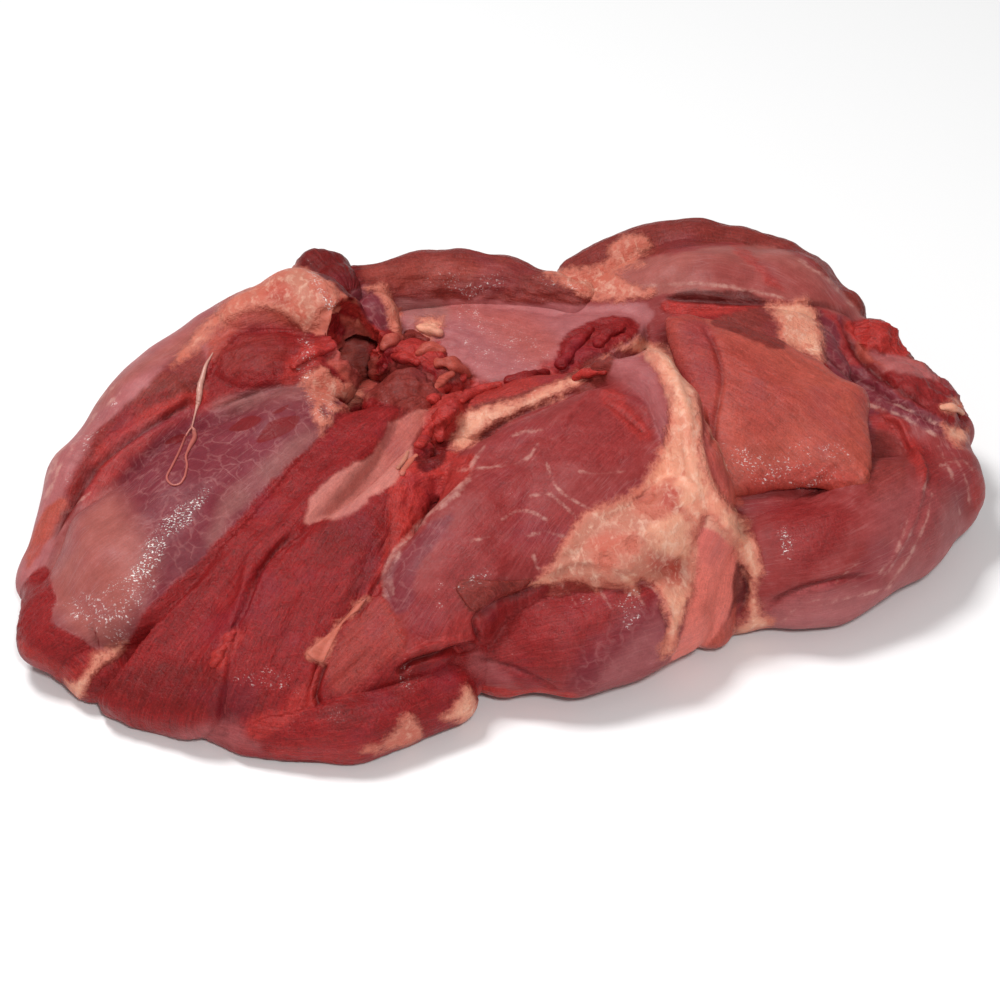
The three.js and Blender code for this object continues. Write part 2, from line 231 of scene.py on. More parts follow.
# A finish's nature: how bare the muscle is (1) or skinned (0), how much pale web its skin has,
# and how wet it is.
NATURE = {
    "deep_red": (1.0, 0.0, 0.2),
    "dark_red": (1.0, 0.0, 0.1),
    "bright_red": (0.9, 0.0, 0.3),
    "brown_red": (0.8, 0.0, 0.2),
    "crease_shade": (0.6, 0.0, 0.4),
    "rose_skin": (0.0, 0.12, 0.3),
    "plum_skin": (0.0, 1.0, 0.3),
    "tan_skin": (0.0, 0.05, 0.6),
    "lilac_skin": (0.0, 0.0, 0.3),
    "grey_skin": (0.0, 0.1, 0.2),
    "salmon": (0.5, 0.0, 0.4),
    "fascia": (0.3, 0.0, -0.6),
    "coral": (0.3, 0.0, 0.0),
    "cream": (0.0, 0.0, 0.3),
    "pale_fat": (0.0, 0.0, 0.4),
    "pink_fat": (0.0, 0.0, 0.4),
}
FINISHES = tuple(NATURE)


def swatch(name, code, description):
    return bpy.props.FloatVectorProperty(
        name=name, description=description, subtype="COLOR", size=3, min=0, max=1,
        default=tone(code))


class MeatColours(bpy.types.PropertyGroup):
    """The colours that the patches are painted in."""
    deep_red: swatch("Deep red", "861a1b", "Freshly cut muscle")
    # Also laid as painted shade in hollows and under overhanging edges.
    dark_red: swatch("Dark red", "6a1413", "Muscle in hollows and at dried cuts")
    bright_red: swatch("Bright red", "a82e29", "Wet muscle at a fresh edge")
    brown_red: swatch("Brown red", "7e2c26", "Muscle that the air has browned")
    # Painted shade: the near-black red that creases and the gaps along them are darkened towards.
    crease_shade: swatch("Blood", "4f0c0b", "The darkest places, where blood stands")
    rose_skin: swatch("Rose skin", "8d3130", "Muscle under thin silverskin")
    plum_skin: swatch("Plum skin", "742630", "Muscle under bluish silverskin")
    tan_skin: swatch("Tan skin", "a0554e", "Muscle under thick silverskin")
    # Silverskin's own lilac, and along edges a painted sheen too.
    lilac_skin: swatch("Lilac skin", "a85e5f", "The sheen of silverskin at an edge")
    grey_skin: swatch("Grey skin", "9c6660", "Silverskin that stands off the muscle")
    salmon: swatch("Salmon", "ad4b3e", "A trimmed sheet of pale muscle")
    fascia: swatch("Fascia", "be7066", "A sheet of connective tissue over muscle")
    coral: swatch("Coral", "d66e61", "A smooth strip of pale muscle")
    cream: swatch("Cream", "de997f", "Hard fat and sinew")
    pale_fat: swatch("Pale fat", "bb7562", "Softer fat, with blood in it")
    pink_fat: swatch("Pink fat", "be6452", "Soft fat over muscle")


# What a muscle looks like where no patch reaches: the sides that face away.
OUTSIDE = {
    "deep_left": "plum_skin", "deep_middle": "rose_skin", "deep_right": "plum_skin",
    "deep_front": "deep_red", "deep_back_left": "plum_skin", "deep_back_right": "rose_skin",
    "triceps": "plum_skin", "back_belly": "lilac_skin", "corner_block": "deep_red",
    "joint_fat": "pink_fat", "inner_lobe": "deep_red", "round_stump": "dark_red",
    "front_lip": "deep_red", "front_belly": "rose_skin", "salmon_strip": "salmon",
    "right_front": "rose_skin", "fat_mass": "pink_fat", "fat_ridge": "cream",
    "right_end": "rose_skin", "end_lobe_high": "brown_red", "end_lobe_low": "rose_skin",
    "mound": "rose_skin", "mound_rim": "brown_red", "back_strip": "brown_red",
    "back_wall": "rose_skin", "middle_hump": "brown_red", "pit_tag_back": "deep_red",
    "pit_tag_fat": "pink_fat", "pit_tag_front": "brown_red", "cut_face_left": "deep_red",
    "cut_face_right": "deep_red", "lower_flap": "deep_red", "middle_belly": "rose_skin",
    "valley_floor": "lilac_skin", "top_flap": "salmon", "top_shelf": "deep_red",
    "strip_bed": "dark_red", "hollow_lip": "deep_red", "pit_lobe": "bright_red",
    "wet_ridge": "bright_red",
}


def patch(finish, soft, *at, share=1, on=None):
    """A finish inside an outline. Soft is how far its edge fades, on is the one piece it is for."""
    return {"finish": finish, "soft": soft, "at": at, "share": share, "on": on}


def fat_patch(tint, *at):
    return {"tint": tint, "at": at}


def fat_hole(*at):
    """An outline that is cut out of the fat listed before it."""
    return {"tint": None, "at": at}


def stroke(start, end, *at):
    """A line, with its width at its start and at its end."""
    return {"width": (start, end), "at": at}


def area(strength, *at):
    return {"strength": strength, "at": at}


def fold(width, depth, *at):
    return {"width": width, "depth": depth, "at": at}


def tag(finish, thick, *at):
    return {"finish": finish, "thick": thick, "at": at}


# Patches of finish on the side that the camera sees. All outlines, lines and widths are in pixels.
# A later patch lies on the ones before it.
PATCHES = (
    # the long muscle at the left end, its skin tan below and plum above
    patch("plum_skin", 5, (45, 562), (78, 500), (105, 458), (150, 424), (222, 398), (300, 380),
        (330, 410), (300, 456), (245, 506), (205, 556), (165, 592), (120, 650), (98, 652),
        (54, 622), (52, 580)),
    patch("tan_skin", 22, (48, 565), (75, 515), (110, 490), (135, 520), (150, 560), (140, 600),
        (118, 648), (98, 648), (56, 618)),
    patch("bright_red", 7, (84, 486), (112, 452), (150, 428), (210, 402), (240, 398), (205, 412),
        (160, 436), (118, 474), (88, 500), share=0.7),
    patch("grey_skin", 12, (215, 404), (262, 388), (305, 382), (318, 398), (280, 400), (232, 410),
        share=0.6),
    patch("grey_skin", 8, (318, 436), (288, 468), (240, 512), (210, 545), (222, 500), (262, 462),
        (300, 430), share=0.5),
    # the belly at the back of the left end: brown in front, silverskin on its outer edge
    patch("brown_red", 6, (58, 528), (66, 490), (100, 430), (140, 392), (172, 360), (205, 352),
        (205, 392), (172, 410), (125, 430), (88, 466), (78, 500)),
    patch("deep_red", 5, (60, 500), (70, 470), (98, 430), (136, 402), (166, 390), (160, 408),
        (112, 444), (82, 486), (64, 520), share=0.6),
    patch("bright_red", 4, (96, 450), (128, 422), (168, 400), (202, 390), (204, 402), (164, 420),
        (126, 442), (100, 466), share=0.7),
    patch("tan_skin", 9, (52, 470), (95, 402), (140, 362), (220, 304), (300, 262), (300, 272),
        (232, 308), (190, 352), (150, 366), (110, 398), (72, 450)),
    patch("lilac_skin", 8, (14, 560), (36, 500), (60, 450), (84, 414), (86, 440), (64, 486),
        (48, 540), (30, 590), (16, 590)),
    patch("salmon", 5, (26, 548), (40, 516), (62, 496), (56, 520), (44, 548), (28, 570)),
    # the corner block and the stretch below the cut face
    patch("deep_red", 3, (30, 576), (46, 565), (54, 596), (54, 622), (76, 636), (98, 652),
        (88, 664), (74, 680), (40, 662), (18, 650), (18, 600)),
    patch("bright_red", 6, (18, 640), (40, 655), (70, 668), (96, 655), (78, 684), (40, 668),
        (18, 655), share=0.6),
    # the cut face
    patch("deep_red", 4, (345, 403), (376, 400), (402, 412), (392, 436), (372, 456), (330, 480),
        (306, 516), (336, 520), (372, 494), (392, 500), (384, 548), (364, 600), (326, 640),
        (308, 660), (320, 680), (314, 706), (262, 746), (215, 718), (160, 736), (96, 706), (84, 698),
        (118, 655), (150, 604), (205, 556), (262, 490), (318, 440)),
    patch("dark_red", 10, (112, 676), (160, 662), (214, 668), (262, 702), (236, 716), (190, 714),
        (140, 708), (104, 694), share=0.75),
    # painted shade in the groove under the fascia strip
    patch("dark_red", 10, (318, 528), (350, 520), (382, 512), (384, 545), (364, 592), (346, 600),
        (352, 560), (322, 560), share=0.6),
    patch("bright_red", 5, (232, 628), (240, 634), (234, 652), (222, 668), (214, 664), (218, 646),
        share=0.8),
    patch("bright_red", 6, (252, 742), (246, 722), (282, 706), (318, 668), (320, 690), (314, 708),
        (280, 730), share=0.6),
    patch("lilac_skin", 8, (158, 738), (200, 726), (232, 720), (250, 738), (262, 752), (205, 744),
        share=0.5),
    # the lip in front, and painted shade on the strip over it, under the belly's edge
    patch("deep_red", 5, (262, 752), (284, 728), (318, 702), (380, 676), (412, 658), (478, 642),
        (480, 704), (400, 750), (330, 764)),
    patch("dark_red", 9, (322, 706), (384, 676), (412, 656), (478, 640), (474, 664), (424, 668),
        (408, 700), (350, 726), share=0.4),
    patch("bright_red", 10, (270, 752), (320, 742), (372, 738), (400, 744), (340, 764), (300, 762),
        share=0.5),
    # the flap over it
    patch("deep_red", 4, (308, 656), (330, 634), (345, 618), (372, 590), (384, 566), (400, 600),
        (412, 625), (414, 655), (398, 668), (350, 696), (318, 704), (322, 668)),
    patch("salmon", 10, (330, 650), (372, 600), (404, 606), (416, 640), (376, 672), (336, 692),
        share=0.35),
    # the strip of connective tissue between the two halves of the cut face
    patch("fascia", 4, (304, 522), (316, 495), (338, 474), (368, 456), (381, 440), (392, 424),
        (418, 410), (432, 410), (424, 426), (414, 440), (412, 456), (402, 468), (396, 484),
        (372, 498), (350, 514), (328, 520)),
    patch("salmon", 10, (378, 452), (392, 424), (418, 408), (434, 408), (426, 432), (406, 452),
        (390, 464), share=0.5),
    # the wet muscle between the cut face and the middle belly
    patch("bright_red", 5, (362, 598), (386, 556), (394, 486), (420, 472), (470, 452), (470, 478),
        (430, 514), (396, 548), (384, 590), share=0.8),
    # the middle belly
    patch("rose_skin", 5, (384, 600), (384, 566), (404, 540), (440, 508), (472, 474), (480, 446),
        (510, 420), (560, 392), (604, 358), (632, 348), (656, 372), (672, 414), (664, 448),
        (640, 482), (606, 504), (580, 522), (560, 556), (530, 584), (500, 600), (476, 614), (458, 600),
        (420, 616)),
    patch("rose_skin", 6, (384, 590), (420, 596), (470, 596), (482, 614), (482, 640), (450, 648),
        (414, 658), (404, 630)),
    patch("deep_red", 9, (404, 600), (430, 594), (474, 596), (484, 620), (480, 642), (440, 652),
        (410, 650), share=0.5),
    patch("deep_red", 16, (476, 470), (496, 430), (540, 416), (560, 440), (556, 490), (520, 506),
        (480, 500), share=0.4),
    patch("bright_red", 9, (420, 636), (450, 622), (478, 614), (482, 642), (440, 652), (412, 660),
        share=0.4),
    patch("deep_red", 14, (440, 560), (470, 520), (540, 500), (580, 516), (556, 556), (500, 580),
        (450, 596), share=0.45),
    patch("lilac_skin", 9, (606, 366), (634, 352), (656, 378), (670, 412), (664, 440), (654, 420),
        (640, 394), (616, 380), share=0.8),
    patch("plum_skin", 6, (384, 572), (410, 548), (440, 520), (452, 520), (424, 560), (406, 612),
        (388, 604), share=0.8),
    patch("deep_red", 7, (556, 452), (562, 420), (584, 396), (612, 386), (640, 400), (652, 424),
        (646, 448), (628, 464), (590, 468), share=0.45),
    patch("bright_red", 5, (600, 398), (618, 392), (650, 436), (640, 440), (616, 418), share=0.6),
    patch("brown_red", 4, (456, 592), (470, 578), (500, 582), (532, 578), (520, 594), (496, 602),
        (476, 614), (462, 604)),
    # the belly in front, under the fat
    patch("deep_red", 5, (478, 622), (520, 594), (560, 580), (606, 588), (640, 584), (664, 590),
        (674, 630), (664, 662), (628, 684), (560, 692), (496, 684), (472, 664), share=0.75),
    patch("plum_skin", 14, (600, 640), (640, 606), (668, 600), (672, 640), (652, 672), (600, 692),
        (568, 688), (576, 660), share=0.8),
    patch("lilac_skin", 12, (606, 664), (636, 634), (668, 606), (674, 634), (660, 664), (630, 684),
        (600, 688), share=0.55),
    patch("lilac_skin", 7, (474, 652), (496, 662), (514, 684), (486, 680), (472, 668), share=0.45),
    patch("bright_red", 3, (478, 686), (520, 689), (572, 693), (570, 698), (500, 702), (478, 700)),
    # the salmon strip right of it
    patch("coral", 4, (696, 560), (700, 530), (720, 532), (738, 556), (740, 580), (730, 610),
        (716, 634), (700, 652), (672, 662), (686, 610)),
    # painted shade in the crease along the strip's right side
    patch("crease_shade", 4, (738, 562), (750, 582), (746, 602), (738, 604), (728, 618), (734, 590),
        share=0.8),
    # the right end in front
    patch("rose_skin", 5, (742, 500), (800, 496), (868, 500), (876, 430), (905, 396), (960, 430),
        (985, 480), (984, 516), (940, 562), (860, 616), (740, 642), (760, 600), (762, 560)),
    patch("deep_red", 12, (770, 508), (838, 504), (850, 524), (834, 552), (804, 576), (786, 552),
        share=0.6),
    patch("deep_red", 8, (902, 440), (932, 450), (944, 500), (930, 560), (912, 520), (918, 470),
        share=0.7),
    patch("deep_red", 5, (766, 606), (800, 584), (836, 578), (846, 584), (800, 602), (770, 618),
        share=0.8),
    patch("brown_red", 6, (866, 440), (880, 428), (900, 440), (908, 470), (900, 494), (876, 500),
        (866, 486), share=0.6),
    patch("bright_red", 4, (868, 416), (900, 416), (912, 434), (926, 466), (926, 486), (918, 480),
        (906, 448), (890, 432), (874, 428), share=0.6),
    # painted sheen along its lower edges, in lilac
    patch("lilac_skin", 10, (984, 512), (960, 530), (920, 566), (860, 600), (780, 622), (772, 642),
        (860, 622), (940, 572), share=0.7),
    patch("lilac_skin", 12, (764, 612), (800, 592), (850, 586), (884, 592), (860, 616), (800, 632),
        (762, 640), share=0.7),
    patch("lilac_skin", 16, (872, 510), (900, 484), (940, 490), (960, 520), (920, 566), (880, 580),
        share=0.4),
    patch("bright_red", 5, (972, 470), (986, 480), (984, 512), (974, 506), share=0.6),
    # the stacked ends behind it
    patch("plum_skin", 4, (818, 310), (842, 312), (848, 345), (900, 394), (952, 424), (936, 436),
        (860, 396), (828, 368)),
    patch("bright_red", 4, (820, 306), (834, 308), (846, 336), (862, 366), (848, 362), (836, 330),
        share=0.6),
    patch("bright_red", 4, (844, 324), (868, 318), (896, 320), (912, 345), (904, 356), (880, 354),
        (860, 344)),
    patch("dark_red", 4, (848, 340), (866, 354), (884, 372), (908, 388), (890, 388), (866, 372),
        share=0.5),
    patch("salmon", 4, (858, 342), (874, 356), (910, 358), (940, 380), (916, 376), (880, 366),
        (862, 356), share=0.8),
    patch("lilac_skin", 6, (872, 352), (908, 358), (938, 378), (920, 378), (884, 366), share=0.7),
    patch("deep_red", 5, (884, 374), (930, 380), (964, 394), (970, 420), (950, 422), (912, 400),
        share=0.8),
    # the flap on top
    patch("salmon", 4, (655, 300), (730, 310), (880, 380), (890, 440), (880, 510), (800, 505),
        (700, 510), (695, 430), (650, 340), on="top_flap"),
    patch("deep_red", 5, (655, 312), (694, 316), (718, 344), (722, 380), (714, 420), (712, 460),
        (722, 496), (700, 470), (680, 400), (664, 350), share=0.45, on="top_flap"),
    patch("salmon", 4, (696, 396), (708, 424), (720, 450), (744, 502), (728, 504), (714, 482),
        (704, 450)),
    patch("deep_red", 16, (690, 330), (760, 352), (800, 400), (760, 440), (726, 400), share=0.35,
        on="top_flap"),
    patch("bright_red", 10, (742, 480), (800, 462), (850, 474), (842, 494), (800, 490), (760, 500),
        share=0.5, on="top_flap"),
    # what shows behind that flap
    patch("brown_red", 3, (712, 322), (740, 308), (764, 306), (778, 324), (784, 348), (744, 338)),
    patch("bright_red", 4, (666, 300), (704, 304), (762, 306), (724, 316), (700, 314), (668, 314)),
    # the mound at the back
    patch("tan_skin", 6, (600, 280), (650, 258), (720, 246), (790, 252), (844, 292), (862, 318),
        (800, 302), (700, 296), (640, 292)),
    patch("rose_skin", 14, (690, 270), (760, 258), (820, 282), (850, 312), (790, 300), (720, 290),
        share=0.6),
    patch("brown_red", 5, (560, 266), (600, 240), (640, 226), (720, 222), (790, 234), (850, 286),
        (872, 320), (850, 300), (800, 256), (740, 240), (690, 248), (640, 256), (600, 264),
        (570, 270)),
    patch("bright_red", 6, (730, 246), (752, 252), (786, 290), (764, 280), share=0.5),
    # painted shade in the crease below the mound
    patch("crease_shade", 4, (664, 297), (700, 290), (740, 292), (770, 302), (700, 304), share=0.8),
    # the strip along the back and the valley in front of it
    patch("lilac_skin", 5, (398, 298), (480, 300), (560, 304), (648, 306), (640, 334), (590, 350),
        (556, 370), (500, 372), (472, 384), (448, 340), (410, 320)),
    patch("salmon", 14, (440, 305), (520, 310), (560, 345), (540, 365), (480, 330), share=0.5),
    patch("grey_skin", 8, (398, 300), (438, 300), (448, 316), (410, 320), share=0.7),
    patch("brown_red", 4, (360, 266), (440, 248), (535, 258), (596, 288), (560, 300), (500, 292),
        (450, 298), (392, 294), (362, 284)),
    patch("salmon", 10, (364, 270), (420, 262), (500, 266), (480, 280), (400, 284), share=0.4),
    # round the hollow that the joint left
    patch("dark_red", 4, (294, 272), (310, 250), (340, 246), (358, 262), (362, 290), (350, 304),
        (334, 290), (312, 270)),
    patch("deep_red", 5, (205, 372), (215, 338), (245, 310), (285, 310), (310, 330), (345, 350),
        (322, 366), (285, 382), (222, 392)),
    patch("brown_red", 12, (224, 358), (244, 334), (276, 336), (290, 352), (268, 368), (236, 374),
        share=0.6),
    patch("salmon", 7, (208, 346), (222, 322), (250, 306), (290, 304), (306, 318), (300, 330),
        (276, 324), (244, 326), (226, 342), (212, 360), share=0.9),
    patch("bright_red", 6, (296, 350), (330, 334), (350, 346), (320, 364), (300, 380), (282, 382),
        share=0.8),
    patch("salmon", 6, (336, 312), (358, 320), (380, 338), (376, 366), (376, 386), (350, 384),
        (326, 358), (340, 346), (346, 330), share=0.9),
    patch("brown_red", 6, (352, 352), (372, 350), (378, 372), (366, 384), (350, 378), share=0.7),
    patch("bright_red", 4, (334, 300), (344, 296), (364, 306), (384, 332), (378, 356), (370, 352),
        (370, 334), (356, 318), (340, 310)),
    patch("brown_red", 4, (374, 386), (386, 368), (404, 362), (434, 378), (436, 398), (412, 410),
        (378, 398)),
    patch("brown_red", 4, (434, 376), (450, 360), (470, 368), (474, 384), (452, 382)),
    patch("bright_red", 5, (398, 340), (440, 340), (440, 364), (410, 366), (394, 356), share=0.8),
    patch("bright_red", 5, (426, 414), (460, 382), (520, 376), (600, 330), (612, 342), (560, 382),
        (470, 406), (446, 446), (424, 440), share=0.8),
    # painted shade in a small dark hollow
    patch("dark_red", 3, (416, 458), (446, 440), (444, 462), (424, 474)),
    patch("plum_skin", 4, (352, 292), (372, 288), (392, 322), (382, 330), (362, 312)),
    patch("brown_red", 4, (566, 372), (600, 350), (612, 358), (604, 384), (580, 394)),
    patch("deep_red", 3, (552, 368), (566, 336), (600, 318), (640, 322), (630, 342), (590, 356),
        (576, 372)),
)

# Fat, in crisp outlines, each in its tint.
FAT = (
    fat_patch("cream", (602, 356), (620, 346), (642, 338), (664, 346), (686, 368), (697, 394),
        (702, 430), (708, 474), (724, 498), (744, 520), (760, 552), (762, 576), (752, 584), (738, 558),
        (716, 524), (702, 520), (692, 550), (694, 584), (684, 622), (668, 656), (660, 654),
        (666, 620), (656, 586), (640, 580), (636, 592), (622, 588), (606, 584), (596, 590), (574, 580),
        (552, 584), (530, 586), (548, 566), (566, 538), (584, 514), (612, 500), (634, 490),
        (652, 466), (666, 436), (670, 406), (658, 374), (640, 354), (620, 352)),
    fat_patch("pale_fat", (548, 574), (566, 538), (584, 514), (612, 500), (634, 490), (650, 496),
        (690, 520), (694, 550), (690, 590), (640, 580), (600, 584)),
    fat_patch("salmon", (640, 496), (656, 486), (676, 482), (684, 494), (674, 510), (650, 514)),
    fat_patch("cream", (650, 524), (676, 520), (692, 540), (690, 556), (664, 556)),
    fat_patch("pink_fat", (580, 548), (600, 536), (626, 538), (620, 552), (598, 556)),
    fat_patch("salmon", (652, 560), (668, 556), (684, 566), (680, 582), (660, 576)),
    fat_hole((638, 500), (646, 493), (656, 496), (652, 503)),
    fat_hole((640, 509), (652, 511), (664, 513), (652, 515)),
    fat_hole((598, 557), (606, 553), (612, 560), (604, 567)),
    fat_hole((626, 544), (632, 538), (637, 546), (631, 552)),
    fat_patch("cream", (744, 560), (756, 590), (762, 612), (776, 622), (756, 634), (738, 640),
        (732, 630), (744, 618), (748, 596)),
    fat_patch("cream", (451, 447), (458, 428), (466, 410), (492, 404), (522, 398), (552, 384),
        (588, 370), (566, 394), (528, 410), (508, 418), (488, 430), (474, 442), (466, 448)),
    fat_patch("cream", (764, 306), (786, 302), (808, 300), (820, 322), (824, 344), (822, 364),
        (800, 354), (782, 344), (778, 322)),
    fat_patch("pink_fat", (544, 272), (580, 268), (606, 262), (612, 242), (636, 234), (650, 246),
        (640, 258), (644, 264), (616, 274), (640, 286), (656, 292), (640, 300), (596, 300), (572, 290)),
    fat_patch("cream", (418, 320), (444, 318), (440, 332), (430, 338), (420, 332)),
    fat_patch("pink_fat", (366, 288), (378, 284), (388, 294), (400, 318), (394, 326), (380, 296)),
    fat_patch("pink_fat", (232, 300), (268, 274), (296, 266), (318, 276), (332, 290), (336, 300),
        (328, 308), (320, 314), (318, 322), (304, 334), (290, 316), (262, 308), (238, 314), (214, 334),
        (196, 350), (170, 366), (184, 346), (206, 322)),
    fat_patch("pale_fat", (286, 272), (298, 268), (308, 284), (318, 314), (308, 322), (298, 300)),
    fat_patch("salmon", (320, 282), (332, 286), (338, 302), (330, 308), (322, 298)),
    fat_patch("salmon", (268, 294), (282, 288), (290, 300), (288, 314), (276, 308)),
    fat_patch("pink_fat", (302, 382), (320, 366), (344, 384), (366, 394), (352, 408), (334, 416),
        (322, 436), (314, 420), (312, 400)),
    fat_hole((334, 403), (340, 399), (346, 404), (340, 407)),
    fat_hole((320, 412), (325, 407), (330, 413), (325, 418)),
    fat_patch("cream", (100, 650), (124, 644), (116, 658), (102, 666), (90, 684), (80, 700), (64, 680),
        (78, 678), (88, 666)),
    fat_patch("pink_fat", (360, 752), (384, 738), (404, 718), (414, 716), (424, 734), (400, 746)),
    fat_patch("cream", (464, 682), (472, 692), (480, 712), (464, 722), (442, 718), (454, 704)),
    fat_patch("cream", (942, 426), (966, 428), (966, 446), (950, 440)),
    fat_patch("pink_fat", (940, 404), (960, 398), (966, 408), (950, 414)),
    fat_patch("pink_fat", (306, 652), (328, 634), (344, 618), (356, 602), (370, 596), (358, 610),
        (342, 626), (334, 642), (326, 660), (312, 660)),
)

# Thin pale sinews, veins and fibres.
SINEWS = (
    stroke(13, 6, (388, 592), (388, 572), (402, 546), (428, 518), (450, 500)),
    stroke(6, 3, (450, 500), (466, 484), (474, 460), (484, 448)),
    stroke(2, 1.5, (502, 520), (516, 512), (530, 512), (546, 520)),
    stroke(2, 3, (526, 536), (546, 532), (562, 536), (584, 542)),
    stroke(2, 1, (470, 542), (486, 538), (502, 536)),
    stroke(2, 2, (530, 496), (548, 494), (562, 504), (580, 522)),
    stroke(1.5, 1.5, (546, 462), (556, 486), (572, 500), (596, 512)),
    stroke(3, 2, (534, 556), (536, 566), (544, 574)),
    stroke(2, 1, (580, 472), (600, 474), (626, 472)),
    stroke(4, 1, (60, 512), (72, 504), (90, 492)),
    stroke(3, 2, (106, 652), (120, 646), (126, 640)),
    stroke(5, 2, (30, 522), (48, 474), (82, 420), (118, 382)),
    stroke(3, 1, (46, 498), (60, 466), (92, 420), (124, 390)),
    stroke(1.5, 1, (836, 584), (848, 572), (860, 560)),
    stroke(2, 1, (776, 628), (800, 606), (830, 598)),
    stroke(3, 2, (640, 286), (700, 284), (760, 292), (808, 306)),
    stroke(4, 2, (800, 260), (830, 282), (852, 306)),
    stroke(2, 2, (866, 404), (900, 416), (944, 440)),
    stroke(2, 1, (880, 400), (920, 412), (944, 428)),
    stroke(2, 1, (938, 446), (952, 478), (960, 514)),
    stroke(1.5, 1, (946, 444), (964, 476), (970, 506)),
    stroke(1, 1, (940, 466), (960, 460), (972, 470)),
    stroke(1.5, 1, (925, 482), (916, 520), (896, 560), (878, 584)),
    stroke(1, 1, (932, 494), (924, 528), (904, 566), (888, 586)),
    stroke(1, 1, (908, 520), (898, 548), (880, 574)),
    stroke(1.5, 1, (452, 470), (520, 462), (540, 440)),
    stroke(2, 1, (512, 436), (524, 432), (542, 428)),
    stroke(2, 1, (820, 606), (860, 596), (900, 584)),
    stroke(4, 1, (556, 580), (568, 592), (576, 604)),
    stroke(3, 1, (598, 584), (606, 600), (614, 612)),
    stroke(4, 1, (626, 584), (640, 598), (648, 612)),
    stroke(3, 1, (640, 582), (654, 590), (664, 602)),
)

# Slits and windows in the skin that show the muscle.
SLITS = (
    ((256, 442), (268, 424), (282, 418), (300, 416), (292, 430), (276, 438)),
    ((228, 430), (240, 420), (252, 416), (262, 420), (246, 430)),
    ((272, 414), (280, 408), (290, 404), (282, 412)),
    ((164, 444), (174, 436), (186, 434), (178, 442)),
    ((100, 660), (98, 646), (92, 626), (99, 640)),
)

# Where the meat was torn from the joint: its surface is ragged, by so many millimetres.
TORN = (
    area(0.8, (366, 288), (400, 280), (480, 272), (560, 280), (590, 292), (540, 302), (440, 300),
        (390, 296)),
    area(0.6, (790, 470), (842, 462), (876, 470), (872, 502), (800, 504)),
    area(0.9, (322, 318), (345, 300), (372, 322), (384, 350), (372, 384), (340, 384), (322, 360)),
    area(1.2, (372, 330), (400, 322), (440, 320), (476, 356), (474, 388), (440, 402), (404, 372),
        (376, 366)),
    area(0.9, (374, 388), (404, 362), (436, 376), (440, 402), (408, 412), (376, 402)),
    area(0.8, (420, 410), (444, 396), (466, 404), (450, 446), (446, 474), (412, 478), (402, 470),
        (420, 444)),
    area(0.7, (364, 600), (356, 580), (392, 500), (400, 484), (470, 452), (466, 474), (430, 512),
        (396, 548), (384, 592)),
    area(1.0, (552, 368), (560, 338), (600, 318), (640, 322), (630, 346), (604, 384), (580, 396)),
    area(0.5, (212, 352), (244, 318), (288, 318), (310, 342), (290, 372), (230, 382)),
    area(0.7, (286, 350), (330, 334), (352, 346), (330, 372), (296, 384), (280, 382)),
    area(0.5, (60, 510), (70, 466), (100, 428), (150, 398), (200, 388), (204, 404), (126, 446),
        (84, 492)),
    area(0.9, (844, 324), (868, 318), (900, 320), (912, 350), (966, 396), (972, 424), (936, 436),
        (880, 396), (850, 350)),
)

# Creases between muscles, each with a width and a depth in millimetres. Painted shade darkens each one,
# more where it is deeper.
CREASES = (
    fold(7, 2.2, (46, 552), (62, 516), (84, 482), (104, 458), (132, 436), (170, 414), (206, 398)),
    fold(5, 1.2, (300, 530), (276, 552), (256, 580), (244, 612), (228, 634), (218, 652)),
    fold(6, 2.0, (320, 708), (316, 692), (320, 672), (326, 662)),
    fold(5, 0.9, (352, 620), (372, 594), (388, 560), (394, 500)),
    fold(5, 1.0, (702, 322), (716, 350), (722, 380), (715, 420), (712, 456)),
    fold(5, 1.8, (478, 618), (500, 602), (522, 594), (546, 582)),
    fold(6, 2.6, (396, 676), (412, 662), (446, 652), (482, 644)),
    fold(4, 1.8, (482, 644), (474, 622), (484, 606)),
    fold(5, 1.5, (740, 562), (748, 590), (736, 620)),
    fold(5, 0.8, (702, 400), (710, 460), (728, 502), (748, 514)),
    fold(6, 1.8, (846, 330), (862, 360), (896, 386), (940, 410)),
    fold(5, 1.2, (818, 340), (846, 372), (900, 404), (950, 430)),
    fold(5, 1.4, (764, 606), (800, 588), (840, 578), (872, 574)),
    fold(4, 1.0, (476, 656), (520, 670), (560, 690)),
    fold(5, 1.5, (660, 298), (700, 300), (770, 304), (830, 306), (866, 322)),
    fold(5, 0.6, (210, 372), (240, 388), (290, 380), (330, 362)),
    fold(4, 1.0, (206, 412), (260, 392), (306, 382)),
    fold(5, 1.4, (452, 450), (486, 434), (520, 414), (590, 386)),
    fold(4, 1.2, (660, 602), (668, 632), (660, 660)),
    fold(4, 1.0, (556, 366), (520, 374), (474, 386)),
    fold(3, 0.8, (602, 400), (620, 412), (648, 436)),
    fold(3, 0.7, (564, 440), (572, 416), (590, 398)),
    fold(3, 0.6, (90, 626), (99, 646)),
)

# Ridges: the same, standing up.
RIDGES = (
    fold(7, 1.4, (384, 592), (390, 568), (414, 536), (450, 500), (470, 478)),
    fold(9, 1.6, (628, 348), (664, 364), (684, 410), (690, 460), (700, 500)),
    fold(7, 1.2, (720, 520), (746, 548), (756, 580)),
    fold(6, 1.0, (306, 528), (284, 548), (264, 576), (252, 604), (238, 630)),
    fold(5, 0.8, (580, 398), (600, 392), (640, 404), (652, 430)),
    fold(5, 1.4, (406, 656), (430, 646), (474, 636)),
    fold(6, 0.9, (540, 576), (580, 560), (640, 572)),
    fold(5, 0.8, (666, 606), (676, 640), (668, 656)),
    fold(6, 1.3, (872, 418), (898, 420), (910, 440), (922, 466), (922, 488)),
    fold(5, 0.7, (906, 440), (922, 470), (914, 520), (884, 576)),
)

